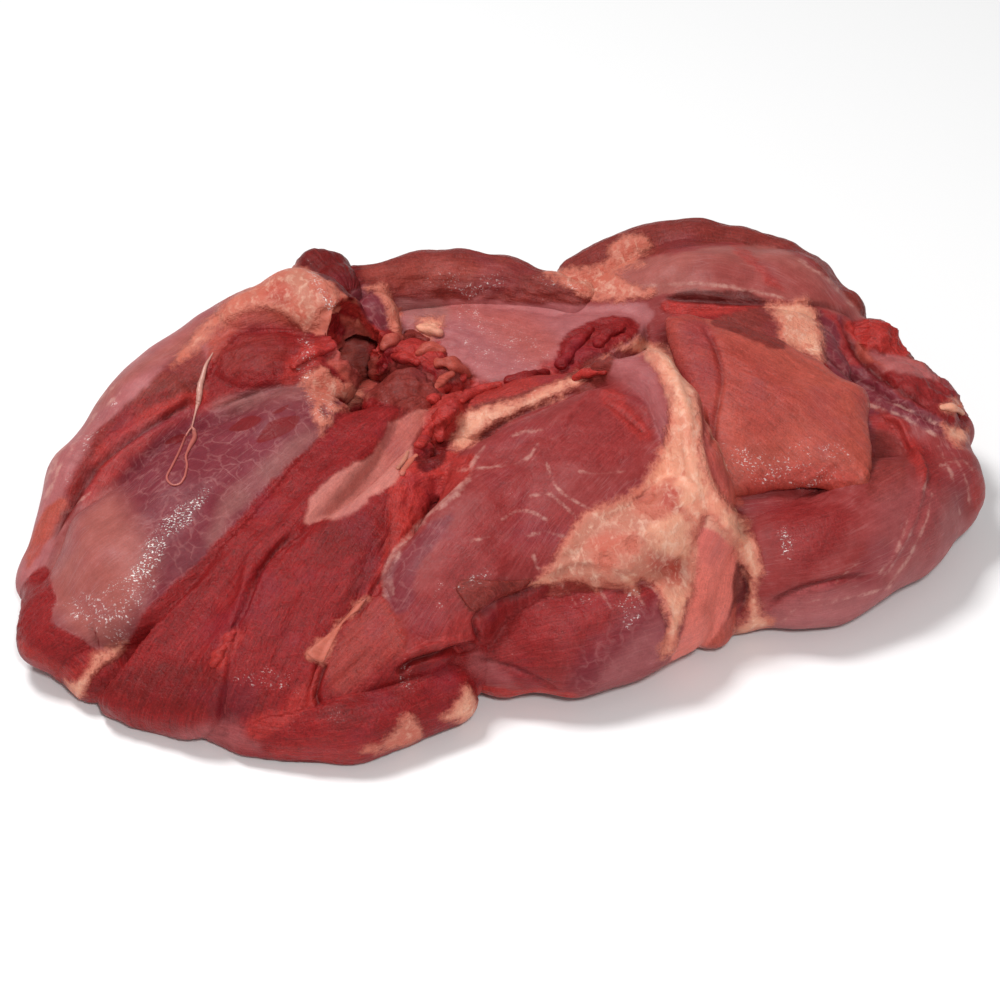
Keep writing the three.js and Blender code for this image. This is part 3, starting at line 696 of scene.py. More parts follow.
# Thin sheets that cling to the meat, with a thickness and a rounded edge in millimetres.
SHEETS = (
    dict(name="torn_membrane", finish="pink_fat", thick=0.6, edge=0.7, at=((306, 652), (320, 640),
         (330, 632), (342, 620), (355, 605), (368, 597), (360, 610), (345, 622), (335, 640),
         (328, 655), (322, 664), (312, 659))),
    dict(name="thin_flap", finish="brown_red", thick=1.0, edge=1.0, at=((455, 585), (470, 578),
         (500, 580), (530, 580), (520, 592), (495, 602), (475, 612), (462, 600))),
)

# Ragged tags of meat that hang on where the joint was torn out, so many millimetres thick.
TAGS = (
    tag("bright_red", 3.6, (432, 400), (444, 386), (462, 377)),
    tag("salmon", 2.4, (436, 388), (444, 378), (452, 374)),
    tag("bright_red", 3.0, (294, 366), (312, 354), (332, 348)),
    tag("salmon", 3.2, (384, 346), (392, 340), (402, 337)),
    tag("brown_red", 3.2, (402, 338), (412, 335), (426, 340)),
    tag("salmon", 3.2, (420, 353), (430, 349), (442, 350)),
    tag("bright_red", 3.0, (394, 355), (404, 358), (416, 361)),
    tag("salmon", 4.0, (440, 363), (454, 366), (466, 375)),
    tag("bright_red", 4.6, (438, 434), (442, 418), (452, 405)),
    tag("cream", 3.6, (421, 329), (430, 330), (438, 332)),
    tag("pink_fat", 1.6, (402, 474), (408, 464), (416, 456)),
    tag("pale_fat", 1.3, (398, 468), (404, 460), (408, 452)),
    tag("bright_red", 3.0, (420, 446), (426, 436), (432, 426)),
    tag("bright_red", 2.8, (460, 401), (476, 393), (500, 386)),
    tag("deep_red", 2.8, (508, 382), (526, 377), (546, 373)),
    tag("deep_red", 3.6, (562, 364), (572, 348), (590, 332)),
    tag("deep_red", 3.4, (598, 342), (608, 334), (622, 327)),
    tag("bright_red", 2.6, (576, 378), (590, 373), (604, 372)),
    tag("bright_red", 2.6, (214, 664), (218, 656), (223, 649)),
    tag("bright_red", 2.2, (225, 645), (229, 638), (234, 633)),
    tag("cream", 2.2, (942, 408), (952, 408), (962, 413)),
)

# Painted highlights: outlines where white specks and a pale sheen are painted into the colour and the
# skin is made glossier and bumpier, and how strongly.
PAINTED_GLINT_AREAS = (
    area(1.0, (132, 566), (148, 540), (178, 508), (204, 486), (206, 494), (188, 522), (162, 556),
        (140, 580)),
    area(0.55, (60, 606), (90, 586), (120, 574), (150, 562), (166, 568), (150, 596), (130, 634),
        (116, 648), (104, 640), (84, 626)),
    area(0.4, (470, 300), (500, 318), (545, 345), (548, 366), (500, 376), (480, 372), (455, 340),
        (446, 318)),
    area(0.5, (722, 440), (770, 448), (838, 436), (850, 470), (800, 490), (745, 486), (722, 470)),
    area(0.4, (536, 592), (560, 588), (592, 590), (590, 606), (560, 612), (540, 606)),
    area(0.45, (608, 584), (640, 578), (648, 600), (636, 625), (615, 620)),
    area(0.4, (330, 712), (350, 706), (352, 726), (334, 730)),
    area(0.4, (396, 672), (414, 670), (416, 690), (400, 692)),
    area(0.3, (238, 664), (290, 668), (296, 690), (250, 694)),
    area(1.0, (312, 268), (330, 290), (334, 310), (322, 306), (310, 290)),
    area(0.6, (298, 330), (314, 330), (316, 376), (300, 378)),
    area(0.5, (302, 388), (322, 380), (340, 396), (330, 424), (314, 420)),
    area(0.35, (438, 580), (462, 574), (512, 574), (514, 588), (466, 592), (440, 606)),
    area(0.9, (782, 530), (785, 529), (790, 556), (786, 557)),
    area(0.4, (424, 276), (500, 270), (502, 290), (430, 294)),
    area(0.45, (536, 272), (575, 280), (572, 296), (545, 290)),
    area(0.5, (58, 486), (84, 430), (112, 400), (116, 410), (90, 440), (66, 490)),
)

# The loose thread of sinew, with its thickness at even steps as a share of the thread's own.
THREADS = (
    dict(thick=(0.4, 1.3, 2.1, 2.4, 1.9, 0.8, 0.7), at=((213, 353), (206, 366), (202, 380),
         (200, 392), (199, 403), (196, 412), (192, 427))),
    dict(thick=(0.7, 0.9, 0.9, 0.8, 0.9), at=((192, 427), (187, 434), (180, 451), (172, 467),
         (167, 478), (172, 485), (180, 484), (185, 477))),
    dict(thick=(0.9, 0.9, 1.0, 1.9, 1.7, 0.7), at=((185, 477), (187, 466), (186, 457), (190, 448),
         (195, 439), (194, 431), (191, 426))),
)


# Shapes

def unit(vectors):
    """The same vectors, each with a length of 1."""
    return vectors / np.maximum(np.linalg.norm(vectors, axis=-1, keepdims=True), 1e-9)


def ease(low, high, value):
    """0 below low, 1 above high and a smooth step between them."""
    t = np.clip((value - low) / (high - low), 0, 1)
    return t * t * (3 - 2 * t)


def spline(stops, share, closed=False):
    """Points on the Catmull-Rom curve through the stops, where share runs from 0 to 1."""
    stops = np.array(stops, float)
    spans = len(stops) if closed else len(stops) - 1
    at = np.clip(share, 0, 1) * spans
    low = np.minimum(at.astype(int), spans - 1)
    t = (at - low)[:, None]
    if closed:
        a, b, c, d = (stops[(low + k) % spans] for k in (-1, 0, 1, 2))
    else:
        ends = np.vstack([2 * stops[:1] - stops[1:2], stops, 2 * stops[-1:] - stops[-2:-1]])
        a, b, c, d = (ends[low + k] for k in range(4))
    return 0.5 * (2 * b + (c - a) * t + (2 * a - 5 * b + 4 * c - d) * t ** 2
                  + (3 * b - a - 3 * c + d) * t ** 3)


def noise(points, size, seed=0):
    """Smooth noise from -1 to 1 at points, in bumps about size across."""
    at = points / size + seed * 11.7
    cell = np.floor(at)
    part = at - cell
    part = part * part * (3 - 2 * part)
    total = np.zeros(len(points))
    for corner in product((0, 1), repeat=3):
        mixed = (cell + corner) @ np.array((127.1, 311.7, 74.7))
        value = np.modf(np.sin(mixed) * 43758.5453)[0]
        total += value * np.prod(np.where(corner, part, 1 - part), axis=1)
    return total


def swell(points):
    total = np.zeros(len(points))
    for height, wave, degrees in SWELLS:
        turn = math.radians(degrees)
        along = points @ np.array((math.cos(turn), math.sin(turn), 0.6))
        total += height * np.sin(2 * math.pi * along / wave)
    return total


def belly_shape(ball, path, wide, thick, box=2):
    """Moves a unit sphere's points on to a belly, and gives each its place along the grain."""
    fine = np.linspace(0, 1, 201)
    line = spline(path, fine)
    gone = np.concatenate([[0], np.cumsum(np.linalg.norm(np.diff(line, axis=0), axis=1))])
    length = gone[-1]

    def at(distance):
        return spline(path, np.interp(distance, gone, fine))

    along = (1 + ball[:, 2]) / 2 * (wide[0] + length + wide[-1]) - wide[0]
    on_path = np.clip(along, 0, length)
    forward = unit(at(np.minimum(on_path + 2, length)) - at(np.maximum(on_path - 2, 0)))
    side = unit(np.cross(forward, (0, 0, 1)))
    top = np.cross(side, forward)
    past = np.where(along < 0, along / wide[0], np.maximum(along - length, 0) / wide[-1])
    turn = np.arctan2(ball[:, 0], ball[:, 1])
    c, s = np.cos(turn), np.sin(turn)
    reach = np.sqrt(np.clip(1 - past ** 2, 0, None))
    reach = reach * (np.abs(c) ** box + np.abs(s) ** box) ** (-1 / box)
    share = np.interp(on_path, gone, fine) * (len(path) - 1)
    low = np.minimum(share.astype(int), len(path) - 2)
    t = ease(0, 1, share - low)

    def half(stops):
        stops = np.array(stops, float)
        return (stops[low] + (stops[low + 1] - stops[low]) * t) * reach

    middle = at(on_path)
    point = (middle + forward * (along - on_path)[:, None]
             + side * (s * half(wide))[:, None] + top * (c * half(thick))[:, None])
    return middle, point, np.column_stack([along, turn * max(wide)])


def pad_shape(ball, rim, middle, up, down, box, grain):
    """The same for a pad, whose sphere has its poles above and below the middle."""
    middle = np.array(middle, float)
    turn = np.arctan2(ball[:, 1], ball[:, 0]) / (2 * math.pi) % 1
    out = spline(rim, turn, closed=True) - middle
    flat = np.hypot(ball[:, 0], ball[:, 1])[:, None]
    point = middle + out * flat ** (1 / box)
    point[:, 2] += ball[:, 2] * np.where(ball[:, 2] > 0, up, down)
    angle = math.radians(grain)
    run = np.array(((math.cos(angle), -math.sin(angle)), (math.sin(angle), math.cos(angle))))
    return middle, point, point[:, :2] @ run


def muscle_points(name, ball):
    if name in BELLIES:
        middle, points, grain = belly_shape(ball, **BELLIES[name])
    else:
        middle, points, grain = pad_shape(ball, **PADS[name])
    points = points + unit(points - middle) * swell(points)[:, None]
    points[:, :2] -= MIDDLE_OF_BOX
    points[:, 2] = np.maximum(points[:, 2], 0)
    return points, grain


# Meshes

def read(piece, what="co", size=3):
    values = np.empty(len(piece.data.vertices) * size)
    piece.data.vertices.foreach_get(what, values)
    return values.reshape(-1, size)


def write(piece, points):
    piece.data.vertices.foreach_set("co", (points * MM).ravel())
    piece.data.update()


def kept(piece, name, field="value", size=1):
    """What store has kept on the vertices."""
    values = np.empty(len(piece.data.vertices) * size)
    piece.data.attributes[name].data.foreach_get(field, values)
    return values if size == 1 else values.reshape(-1, size)


def store(piece, name, values):
    """Keeps a number, a vector or a colour for each vertex."""
    values = np.asarray(values, float)
    kind, field = "FLOAT", "value"
    if values.ndim == 2 and name.startswith("tint"):
        kind, field = "FLOAT_COLOR", "color"
        values = np.column_stack([values, np.ones(len(values))])
    elif values.ndim == 2:
        kind, field = "FLOAT_VECTOR", "vector"
        values = np.column_stack([values, np.zeros((len(values), 3 - values.shape[1]))])
    layer = piece.data.attributes.new(name, kind, "POINT")
    layer.data.foreach_set(field, values.ravel())


def corners(piece):
    mesh = piece.data
    mesh.calc_loop_triangles()
    tris = np.empty(len(mesh.loop_triangles) * 3, int)
    mesh.loop_triangles.foreach_get("vertices", tris)
    return tris.reshape(-1, 3)


def pick(*pieces):
    """Selects these pieces alone and makes the first the active one."""
    bpy.ops.object.select_all(action="DESELECT")
    for piece in pieces:
        piece.select_set(True)
    bpy.context.view_layer.objects.active = pieces[0]


def join(name, pieces):
    pick(*pieces)
    bpy.ops.object.join()
    bpy.context.object.name = name
    return bpy.context.object


def face_outward():
    bpy.ops.object.mode_set(mode="EDIT")
    bpy.ops.mesh.select_all(action="SELECT")
    bpy.ops.mesh.normals_make_consistent(inside=False)
    bpy.ops.object.mode_set(mode="OBJECT")


def add_ball(sides, rings):
    bpy.ops.object.select_all(action="DESELECT")
    bpy.ops.mesh.primitive_uv_sphere_add(segments=sides, ring_count=rings, radius=1)
    return bpy.context.object


def add_muscle(name, sides, rings):
    """A muscle on its own, made from a ball, and its grain."""
    piece = add_ball(sides, rings)
    piece.name = name
    points, grain = muscle_points(name, read(piece))
    write(piece, points)
    face_outward()
    return piece, grain


def apply_modifier(piece, kind, **settings):
    made = piece.modifiers.new(kind.lower(), kind)
    for key, value in settings.items():
        setattr(made, key, value)
    bpy.context.view_layer.objects.active = piece
    bpy.ops.object.modifier_apply(modifier=made.name)


def tree_of(piece):
    return BVHTree.FromPolygons([v.co.copy() for v in piece.data.vertices], corners(piece).tolist())


# Working the surface over. Fades up to CRISP pixels are drawn sharper, and NOWHERE is how far
# outside all marks a vertex is to start with.

CRISP = 6
NOWHERE = -20.0


def to_picture(points):
    """Where the camera sees points, in pixels of the photograph."""
    ray = points * MM - np.array(EYE)
    zoom = PICTURE * AWAY / FRAME_WIDTH / (ray @ FORWARD)
    return np.column_stack([PICTURE / 2 + ray[:, 0] * zoom, PICTURE / 2 - (ray @ UP) * zoom])


def distance_to(pixels, line, closed):
    """How far pixels are from a line, how far along it the nearest place is, and which are inside."""
    starts, ends = line[:-1], line[1:]
    best = np.full(len(pixels), 1e9)
    share = np.zeros(len(pixels))
    inside = np.zeros(len(pixels), bool)
    x, y = pixels.T
    for k, ((ax, ay), (bx, by)) in enumerate(zip(starts, ends)):
        dx, dy = bx - ax, by - ay
        t = np.clip(((x - ax) * dx + (y - ay) * dy) / max(dx * dx + dy * dy, 1e-9), 0, 1)
        gap = (x - ax - t * dx) ** 2 + (y - ay - t * dy) ** 2
        nearer = gap < best
        best[nearer] = gap[nearer]
        share[nearer] = (k + t[nearer]) / len(starts)
        if closed and ay != by:
            crossed = (ay > y) != (by > y)
            inside ^= crossed & (x < dx * (y - ay) / dy + ax)
    return np.sqrt(best), share, inside


class Canvas:
    """A piece's vertices as the camera sees them, on which patches and lines are laid."""
    FAR = 60

    def __init__(self, piece):
        self.points = read(piece) / MM
        self.normals = read(piece, "normal")
        self.pixels = to_picture(self.points)
        self.hidden = np.zeros(len(self.points))
        self.find_hidden(piece)

    def find_hidden(self, piece):
        """Hidden vertices borrow the picture's place of the nearest seen one, and fade from it."""
        tree = tree_of(piece)
        eye = np.array(EYE)
        start = self.points * MM + self.normals * (0.8 * MM)
        toward = unit(eye - start)
        facing = np.einsum("ij,ij->i", toward, self.normals)
        seen = np.zeros(len(start), bool)
        for i in np.nonzero(facing > 0.02)[0]:
            seen[i] = tree.ray_cast(Vector(start[i]), Vector(toward[i]))[0] is None
        index = np.nonzero(seen)[0]
        nearest = KDTree(len(index))
        for i in index:
            nearest.insert(Vector(self.points[i]), int(i))
        nearest.balance()
        for i in np.nonzero(~seen)[0]:
            _, found, gap = nearest.find(Vector(self.points[i]))
            self.pixels[i] = self.pixels[found]
            self.hidden[i] = gap

    def inside(self, at):
        """How far each vertex is inside an outline, in pixels, negative outside."""
        line = spline(at, np.linspace(0, 1, 4 * len(at) + 1), closed=True)
        near = self.near(line)
        result = np.full(len(self.points), -float(self.FAR))
        gap, _, inside = distance_to(self.pixels[near], line, closed=True)
        result[near] = np.where(inside, gap, -gap)
        return result - np.maximum(self.hidden - 8, 0) * 3

    def near(self, line):
        low, high = line.min(axis=0) - self.FAR, line.max(axis=0) + self.FAR
        return np.all((self.pixels > low) & (self.pixels < high), axis=1)

    def along(self, at, width):
        """How far each vertex is inside a line of the given start and end width, in pixels."""
        line = spline(at, np.linspace(0, 1, 5 * len(at)))
        near = self.near(line)
        result = np.full(len(self.points), -float(self.FAR))
        gap, share, _ = distance_to(self.pixels[near], line, closed=False)
        result[near] = (width[0] + (width[1] - width[0]) * share) / 2 - gap
        return result - np.maximum(self.hidden - 4, 0) * 3

    def crease(self, at, width):
        """1 in the middle of a line and 0 at its edges, tapering at its ends."""
        line = spline(at, np.linspace(0, 1, 5 * len(at)))
        near = self.near(line)
        result = np.zeros(len(self.points))
        gap, share, _ = distance_to(self.pixels[near], line, closed=False)
        taper = ease(0, 0.12, share) * ease(0, 0.12, 1 - share)
        result[near] = (1 - ease(0, width, gap)) * taper
        return result * (self.hidden < 6)


def palette():
    """The finishes' colours, in the order of their names."""
    colours = bpy.context.scene.meat_colours
    return np.array([tuple(getattr(colours, name)) for name in FINISHES])


def painted(canvas, marks, outside, ragged):
    """Each vertex's tint and nature: its own finish, with patches laid on it."""
    tints, natures = palette(), np.array([NATURE[name] for name in FINISHES])
    tint, nature = tints[outside], natures[outside]
    for mark in marks:
        soft = mark["soft"] if mark["soft"] > CRISP else mark["soft"] * 0.45
        cover = ease(-soft, soft, canvas.inside(mark["at"]) + ragged * min(1, soft / 2))
        cover = (cover * mark["share"])[:, None]
        which = FINISHES.index(mark["finish"])
        tint = tint + (tints[which] - tint) * cover
        nature = nature + (natures[which] - nature) * cover
    return tint, nature


def fat_laid(canvas, marks, ragged):
    """How far each vertex is inside the fat, in pixels, and the fat's tint there."""
    tints = palette()
    fat = np.full(len(canvas.points), NOWHERE)
    tint = np.tile(tints[FINISHES.index("pink_fat")], (len(fat), 1))
    for mark in marks:
        inside = canvas.inside(mark["at"])
        if mark["tint"] is None:
            fat = np.minimum(fat, -inside)
            continue
        cover = ease(-8, 6, inside + 2 * ragged)[:, None]
        tint = tint + (tints[FINISHES.index(mark["tint"])] - tint) * cover
        fat = np.maximum(fat, inside)
    back = noise(canvas.points, 34, 5) + 0.5 * noise(canvas.points, 12, 6) - 0.55
    return np.maximum(fat, np.where(canvas.hidden > 14, back * 30, NOWHERE)), tint


def fine_relief(points, grain, bare, fat_here, lumps):
    """The height of lumps, fibres and fat all over, in millimetres."""
    height = lumps * (0.4 * noise(points, 19, 3) + 0.28 * noise(points, 8, 4))
    height += bare * (0.22 * noise(points, 3.4, 7) + 0.14 * noise(points, 1.9, 8))
    fibres = np.column_stack([grain[:, 0] / 9, grain[:, 1] / 1.8, grain[:, 0] * 0])
    height += bare * 0.25 * noise(fibres, 1, 9)
    return height + fat_here * (0.5 + 0.3 * noise(points, 5, 10) + 0.15 * noise(points, 2.2, 11))


def drawn_relief(canvas, ragged):
    """The height of torn places, creases and ridges, and how much painted shade darkens the creases."""
    height, shade = np.zeros(len(ragged)), np.zeros(len(ragged))
    for mark in TORN:
        here = ease(-6, 6, canvas.inside(mark["at"]) + ragged) * mark["strength"]
        crags = 0.7 - 2 * np.abs(noise(canvas.points, 6.5, 13))
        height += here * (crags - 1.2 * np.abs(noise(canvas.points, 3.2, 14)))
    for mark in CREASES:
        here = canvas.crease(mark["at"], mark["width"])
        height -= here * mark["depth"]
        shade = np.maximum(shade, here ** 2 * min(1, mark["depth"] / 2))
    for mark in RIDGES:
        height += canvas.crease(mark["at"], mark["width"]) * mark["depth"]
    return height, shade


def work_over(piece, grain, outside, lumps=1.0, shared=True):
    """Paints a piece and models its fine relief. Outside names each vertex's own finish.

    The marks are for the pieces that share them, apart from a patch for one piece alone.
    """
    canvas = Canvas(piece)
    points = canvas.points
    ragged = 3.4 * noise(points, 8, 1) + 2.2 * noise(points, 2.8, 2)
    patches = [mark for mark in PATCHES
               if mark["on"] == piece.name or (shared and mark["on"] is None)]
    tint, nature = painted(canvas, patches, outside, ragged)
    fatty = shared and piece.name != "top_flap"
    fat, fat_tint = fat_laid(canvas, FAT if fatty else (), ragged)

    line = np.full(len(points), NOWHERE)
    for mark in SINEWS if shared else ():
        line = np.maximum(line, canvas.along(mark["at"], mark["width"]))
    slit = np.full(len(points), NOWHERE)
    for at in SLITS if shared else ():
        slit = np.maximum(slit, canvas.inside(at))
    shine = np.zeros(len(points))
    for mark in PAINTED_GLINT_AREAS:
        here = ease(-9, 9, canvas.inside(mark["at"]) + 1.5 * ragged)
        shine = np.maximum(shine, here * mark["strength"])

    fat_here = ease(-3, 3, fat)
    height = fine_relief(points, grain, nature[:, 0] * (1 - fat_here), fat_here, lumps)
    height -= ease(-2, 2, slit) * 0.25
    if shared:
        drawn, shade = drawn_relief(canvas, ragged)
        height += drawn
        # painted shade: the tint is darkened in the creases, more where they are deeper
        crease_shade = palette()[FINISHES.index("crease_shade")]
        tint = tint + (crease_shade - tint) * (0.8 * shade)[:, None]

    points = points + canvas.normals * (height * ease(0, 2, points[:, 2]))[:, None]
    points[:, 2] = np.maximum(points[:, 2], 0)
    write(piece, points)
    store(piece, "tint", tint)
    store(piece, "tint_fat", fat_tint)
    store(piece, "nature", nature)
    store(piece, "grain", grain)
    store(piece, "fat_edge", fat * PIXEL)
    store(piece, "sinew_edge", line * PIXEL)
    store(piece, "slit_edge", slit * PIXEL)
    store(piece, "shine", shine)


# Finishes

class Socket:
    """A node's output in a material. Arithmetic on it adds Math nodes."""

    def __init__(self, finish, output):
        self.finish = finish
        self.output = output

    def _math(self, operation, first, second):
        return self.finish.node("ShaderNodeMath", {"operation": operation}, {0: first, 1: second})

    def __add__(self, other):
        return self._math("ADD", self, other)

    def __sub__(self, other):
        return self._math("SUBTRACT", self, other)

    def __rsub__(self, other):
        return self._math("SUBTRACT", other, self)

    def __mul__(self, other):
        return self._math("MULTIPLY", self, other)

    def __truediv__(self, other):
        return self._math("DIVIDE", self, other)

    __radd__ = __add__
    __rmul__ = __mul__


class Finish:
    """A material that is put together from nodes."""

    def __init__(self, name):
        self.material = bpy.data.materials.new(name)
        self.material.use_nodes = True
        self.tree = self.material.node_tree
        self.shader = self.tree.nodes["Principled BSDF"]
        place = self.node("ShaderNodeTexCoord", output="Object")
        self.place = self.scaled(place, (1 / MM, 1 / MM, 1 / MM))

    def node(self, kind, settings=None, inputs=None, output=0):
        """A node with its settings, then its inputs' values or links, as the output asked for."""
        made = self.tree.nodes.new(kind)
        for key, value in (settings or {}).items():
            setattr(made, key, value)
        for key, value in (inputs or {}).items():
            if isinstance(value, Socket):
                self.tree.links.new(value.output, made.inputs[key])
            else:
                made.inputs[key].default_value = value
        return Socket(self, made.outputs[output])

    def attribute(self, name, output):
        return self.node("ShaderNodeAttribute", {"attribute_name": name}, output=output)

    def scaled(self, vector, by):
        return self.node("ShaderNodeVectorMath", {"operation": "MULTIPLY"}, {0: vector, 1: by})

    def split(self, vector):
        node = self.tree.nodes.new("ShaderNodeSeparateXYZ")
        self.tree.links.new(vector.output, node.inputs[0])
        return [Socket(self, output) for output in node.outputs]

    def grain(self, vector, size, detail=2, rough=0.5):
        """Noise from 0 to 1 in bumps of the given size, millimetres."""
        return self.node("ShaderNodeTexNoise", {}, {
            "Vector": vector, "Scale": 1 / size, "Detail": detail, "Roughness": rough})

    def step(self, value, low, high):
        return self.node("ShaderNodeMapRange", {"interpolation_type": "SMOOTHSTEP"}, {
            "Value": value, "From Min": low, "From Max": high})

    def mix(self, share, first, second):
        return self.node("ShaderNodeMix", {"data_type": "RGBA"}, {0: share, 6: first, 7: second},
                         output=2)

    def shade(self, colour, amount):
        """The colour made lighter or darker all over by a number."""
        return self.node("ShaderNodeVectorMath", {"operation": "SCALE"},
                         {0: colour, "Scale": amount})

    def finish(self, inputs):
        for key, value in inputs.items():
            if isinstance(value, Socket):
                self.tree.links.new(value.output, self.shader.inputs[key])
            else:
                self.shader.inputs[key].default_value = value
        return self.material


def rgba(code):
    return (*tone(code), 1)


# Colours that the meat's surface is mixed with, over the tints of its patches.
BLUISH, FIBRE, VEIL, WEB = rgba("7a2436"), rgba("ac4840"), rgba("b58583"), rgba("b47774")
OPEN_MUSCLE, SINEW = tone("741a1d"), rgba("cf9f92")
FAT_RIM, WARM_FAT, RED_FAT, WHITE_FAT = (rgba(code) for code in
                                         ("c4705e", "c76552", "b34a3a", "f2cbb4"))
# The last two are painted highlight colours: a pale sheen and white glints.
PAINTED_SHEEN, PAINTED_GLINT = rgba("e0bdb6"), rgba("fff4f0")


def raw_meat():
    """Muscle, silverskin and fat, with painted crease shade and painted highlights, laid out by what is
    kept on the vertices.
    """
    if "meat_surface" in bpy.data.materials:
        return bpy.data.materials["meat_surface"]
    f = Finish("meat_surface")
    tint = f.attribute("tint", "Color")
    fat_tint = f.attribute("tint_fat", "Color")
    bare, web, wet = f.split(f.attribute("nature", "Vector"))
    along = f.attribute("grain", "Vector")
    fat_edge = f.attribute("fat_edge", "Fac")
    sinew_edge = f.attribute("sinew_edge", "Fac")
    slit_edge = f.attribute("slit_edge", "Fac")
    shine = f.attribute("shine", "Fac")

    fine = f.grain(f.place, 0.55, 2, 0.6)
    fleck = f.grain(f.place, 1.3, 3, 0.62)
    mottle = f.grain(f.place, 5.5, 4, 0.62)
    drift = f.grain(f.place, 18, 3)
    strand = f.grain(f.scaled(along, (1 / 6, 1 / 0.7, 1)), 1, 3, 0.65)
    band = f.grain(f.scaled(along, (1 / 30, 1 / 3.2, 1)), 1, 3)

    # muscle: streaked and flecked where it is bare, smooth under its skin
    light = (1.0 + (fleck - 0.5) * (0.12 + bare * 0.75) + (strand - 0.5) * (0.3 + bare * 0.8)
             + (fine - 0.5) * (0.35 + bare * 0.75) + (mottle - 0.5) * 0.6 + (drift - 0.5) * 0.25)
    muscle = f.shade(tint, light)
    muscle = f.mix(f.step(band, 0.45, 0.75) * (0.2 + bare * 0.25), muscle, f.shade(tint, 0.62))
    muscle = f.mix(f.step(drift, 0.5, 0.7) * 0.28, muscle, BLUISH)
    threads = f.step(strand, 0.58, 0.72) * bare * 0.25
    muscle = f.mix(threads, muscle, FIBRE)

    # silverskin: a pale veil in patches and strands, with a faint web of vein-like lines
    wander = f.node("ShaderNodeTexNoise", {}, {"Vector": f.place, "Scale": 1 / 4.5}, output=1)
    bent = f.node("ShaderNodeVectorMath", {"operation": "ADD"}, {
        0: f.place, 1: f.scaled(wander, (6, 6, 6))})
    cells = f.node("ShaderNodeTexVoronoi", {"feature": "DISTANCE_TO_EDGE"}, {
        "Vector": bent, "Scale": 1 / 6.0})
    net = (1 - f.step(cells, 0.0, 0.1)) * web * f.step(mottle, 0.3, 0.6) * 0.26
    seam = f.grain(f.scaled(along, (1 / 22, 1 / 2.4, 1)), 1, 2)
    wrinkle = f.node("ShaderNodeMath", {"operation": "ABSOLUTE"}, {0: seam - 0.5})
    net = net + (1 - f.step(wrinkle, 0.0, 0.03)) * (1 - bare) * f.step(drift, 0.42, 0.6) * 0.24
    veil = (f.step(strand, 0.45, 0.75) * 0.07 + f.step(mottle, 0.45, 0.75) * 0.08
            + f.step(drift, 0.45, 0.65) * 0.03) * (1 - bare) * (1 - web * 0.5)
    skin = f.mix(veil, muscle, VEIL)
    skin = f.mix(net, skin, WEB)

    # slits that show muscle, pale sinews, then fat
    crumble = (fleck - 0.5) * 0.6 + (mottle - 0.5) * 1.7
    slit = f.step(slit_edge + crumble * 0.4, -0.2, 0.25)
    skin = f.mix(slit, skin, f.shade(OPEN_MUSCLE, light))
    sinew = f.step(sinew_edge + crumble * 1.3, -0.5, 0.5) * (0.1 + f.step(mottle, 0.4, 0.65) * 0.36)
    skin = f.mix(sinew, skin, SINEW)
    fat = f.step(fat_edge + crumble * 4.5 + (strand - 0.5) * 0.9, -1.5, 1.5)
    core = f.step(fat_edge + crumble * 4, 0.0, 3.6)
    fat_colour = f.mix(core, FAT_RIM, fat_tint)
    fat_colour = f.shade(fat_colour, 0.84 + mottle * 0.32)
    fat_colour = f.mix(f.step(drift, 0.53, 0.66) * 0.4, fat_colour, WARM_FAT)
    fat_colour = f.mix(f.step(mottle, 0.57, 0.68) * 0.45, fat_colour, RED_FAT)
    lumps = f.grain(f.scaled(bent, (1 / 2.2, 1 / 4.5, 1 / 3.5)), 1, 4, 0.6)
    fat_colour = f.mix(f.step(lumps, 0.45, 0.7) * core * 0.4, fat_colour, WHITE_FAT)
    colour = f.mix(fat, skin, fat_colour)

    # painted highlights: white specks and a faint pale sheen painted into the colour, where the skin is
    # glossier too
    gleam = f.grain(f.scaled(f.place, (1 / 0.8, 1 / 0.55, 1)), 1, 2, 0.6)
    painted_glint_cover = f.step(shine + (mottle - 0.5) * 1.8, 0.2, 1.0)
    speck_pattern = f.step(gleam + painted_glint_cover * 0.07, 0.6, 0.7)
    glossy_painted_specks = speck_pattern * painted_glint_cover
    painted_sheen_share = f.step(shine + (mottle - 0.5) * 0.8, 0.1, 1.0) * 0.03
    colour = f.mix(painted_sheen_share, colour, PAINTED_SHEEN)
    colour = f.mix(glossy_painted_specks * 0.85, colour, PAINTED_GLINT)

    rough = 0.5 - bare * 0.08 + (fleck - 0.5) * 0.3 - wet * 0.1 - glossy_painted_specks * 0.2
    height = (fine * bare * 0.5 + fleck * (0.25 + bare * 0.7) + mottle * 0.5
              + strand * (0.2 + bare * 0.5) - net * 0.6 + fat * (mottle * 1.6 + lumps * 1.0)
              + speck_pattern * shine * 0.5)
    bump = f.node("ShaderNodeBump", {}, {
        "Height": height, "Strength": 0.8, "Distance": 0.5 * MM})
    return f.finish({
        "Base Color": colour, "Roughness": rough, "Normal": bump,
        "Specular IOR Level": 0.18, "Subsurface Weight": 0.12, "Subsurface Scale": 0.003,
        "Subsurface Radius": (1.0, 0.35, 0.25)})


def pale_sinew():
    """The loose thread of sinew: pale, wet and a little see-through at its reddish end."""
    if "pale_sinew" in bpy.data.materials:
        return bpy.data.materials["pale_sinew"]
    f = Finish("pale_sinew")
    mottle = f.grain(f.place, 2.5, 3, 0.6)
    red = f.attribute("redness", "Fac")
    colour = f.mix(red, rgba("c48c7e"), rgba("a8443c"))
    colour = f.shade(colour, 0.75 + mottle * 0.5)
    bump = f.node("ShaderNodeBump", {}, {"Height": mottle, "Strength": 0.4, "Distance": 0.3 * MM})
    return f.finish({"Base Color": colour, "Roughness": 0.3 + mottle * 0.15, "Normal": bump})


# Pieces

def dress(piece, material):
    """Gives a finished piece its material and its place in the frame."""
    piece.data.materials.clear()
    piece.data.materials.append(material)
    pick(piece)
    bpy.ops.object.shade_smooth()
    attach(piece, "root")
    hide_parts(NODE)


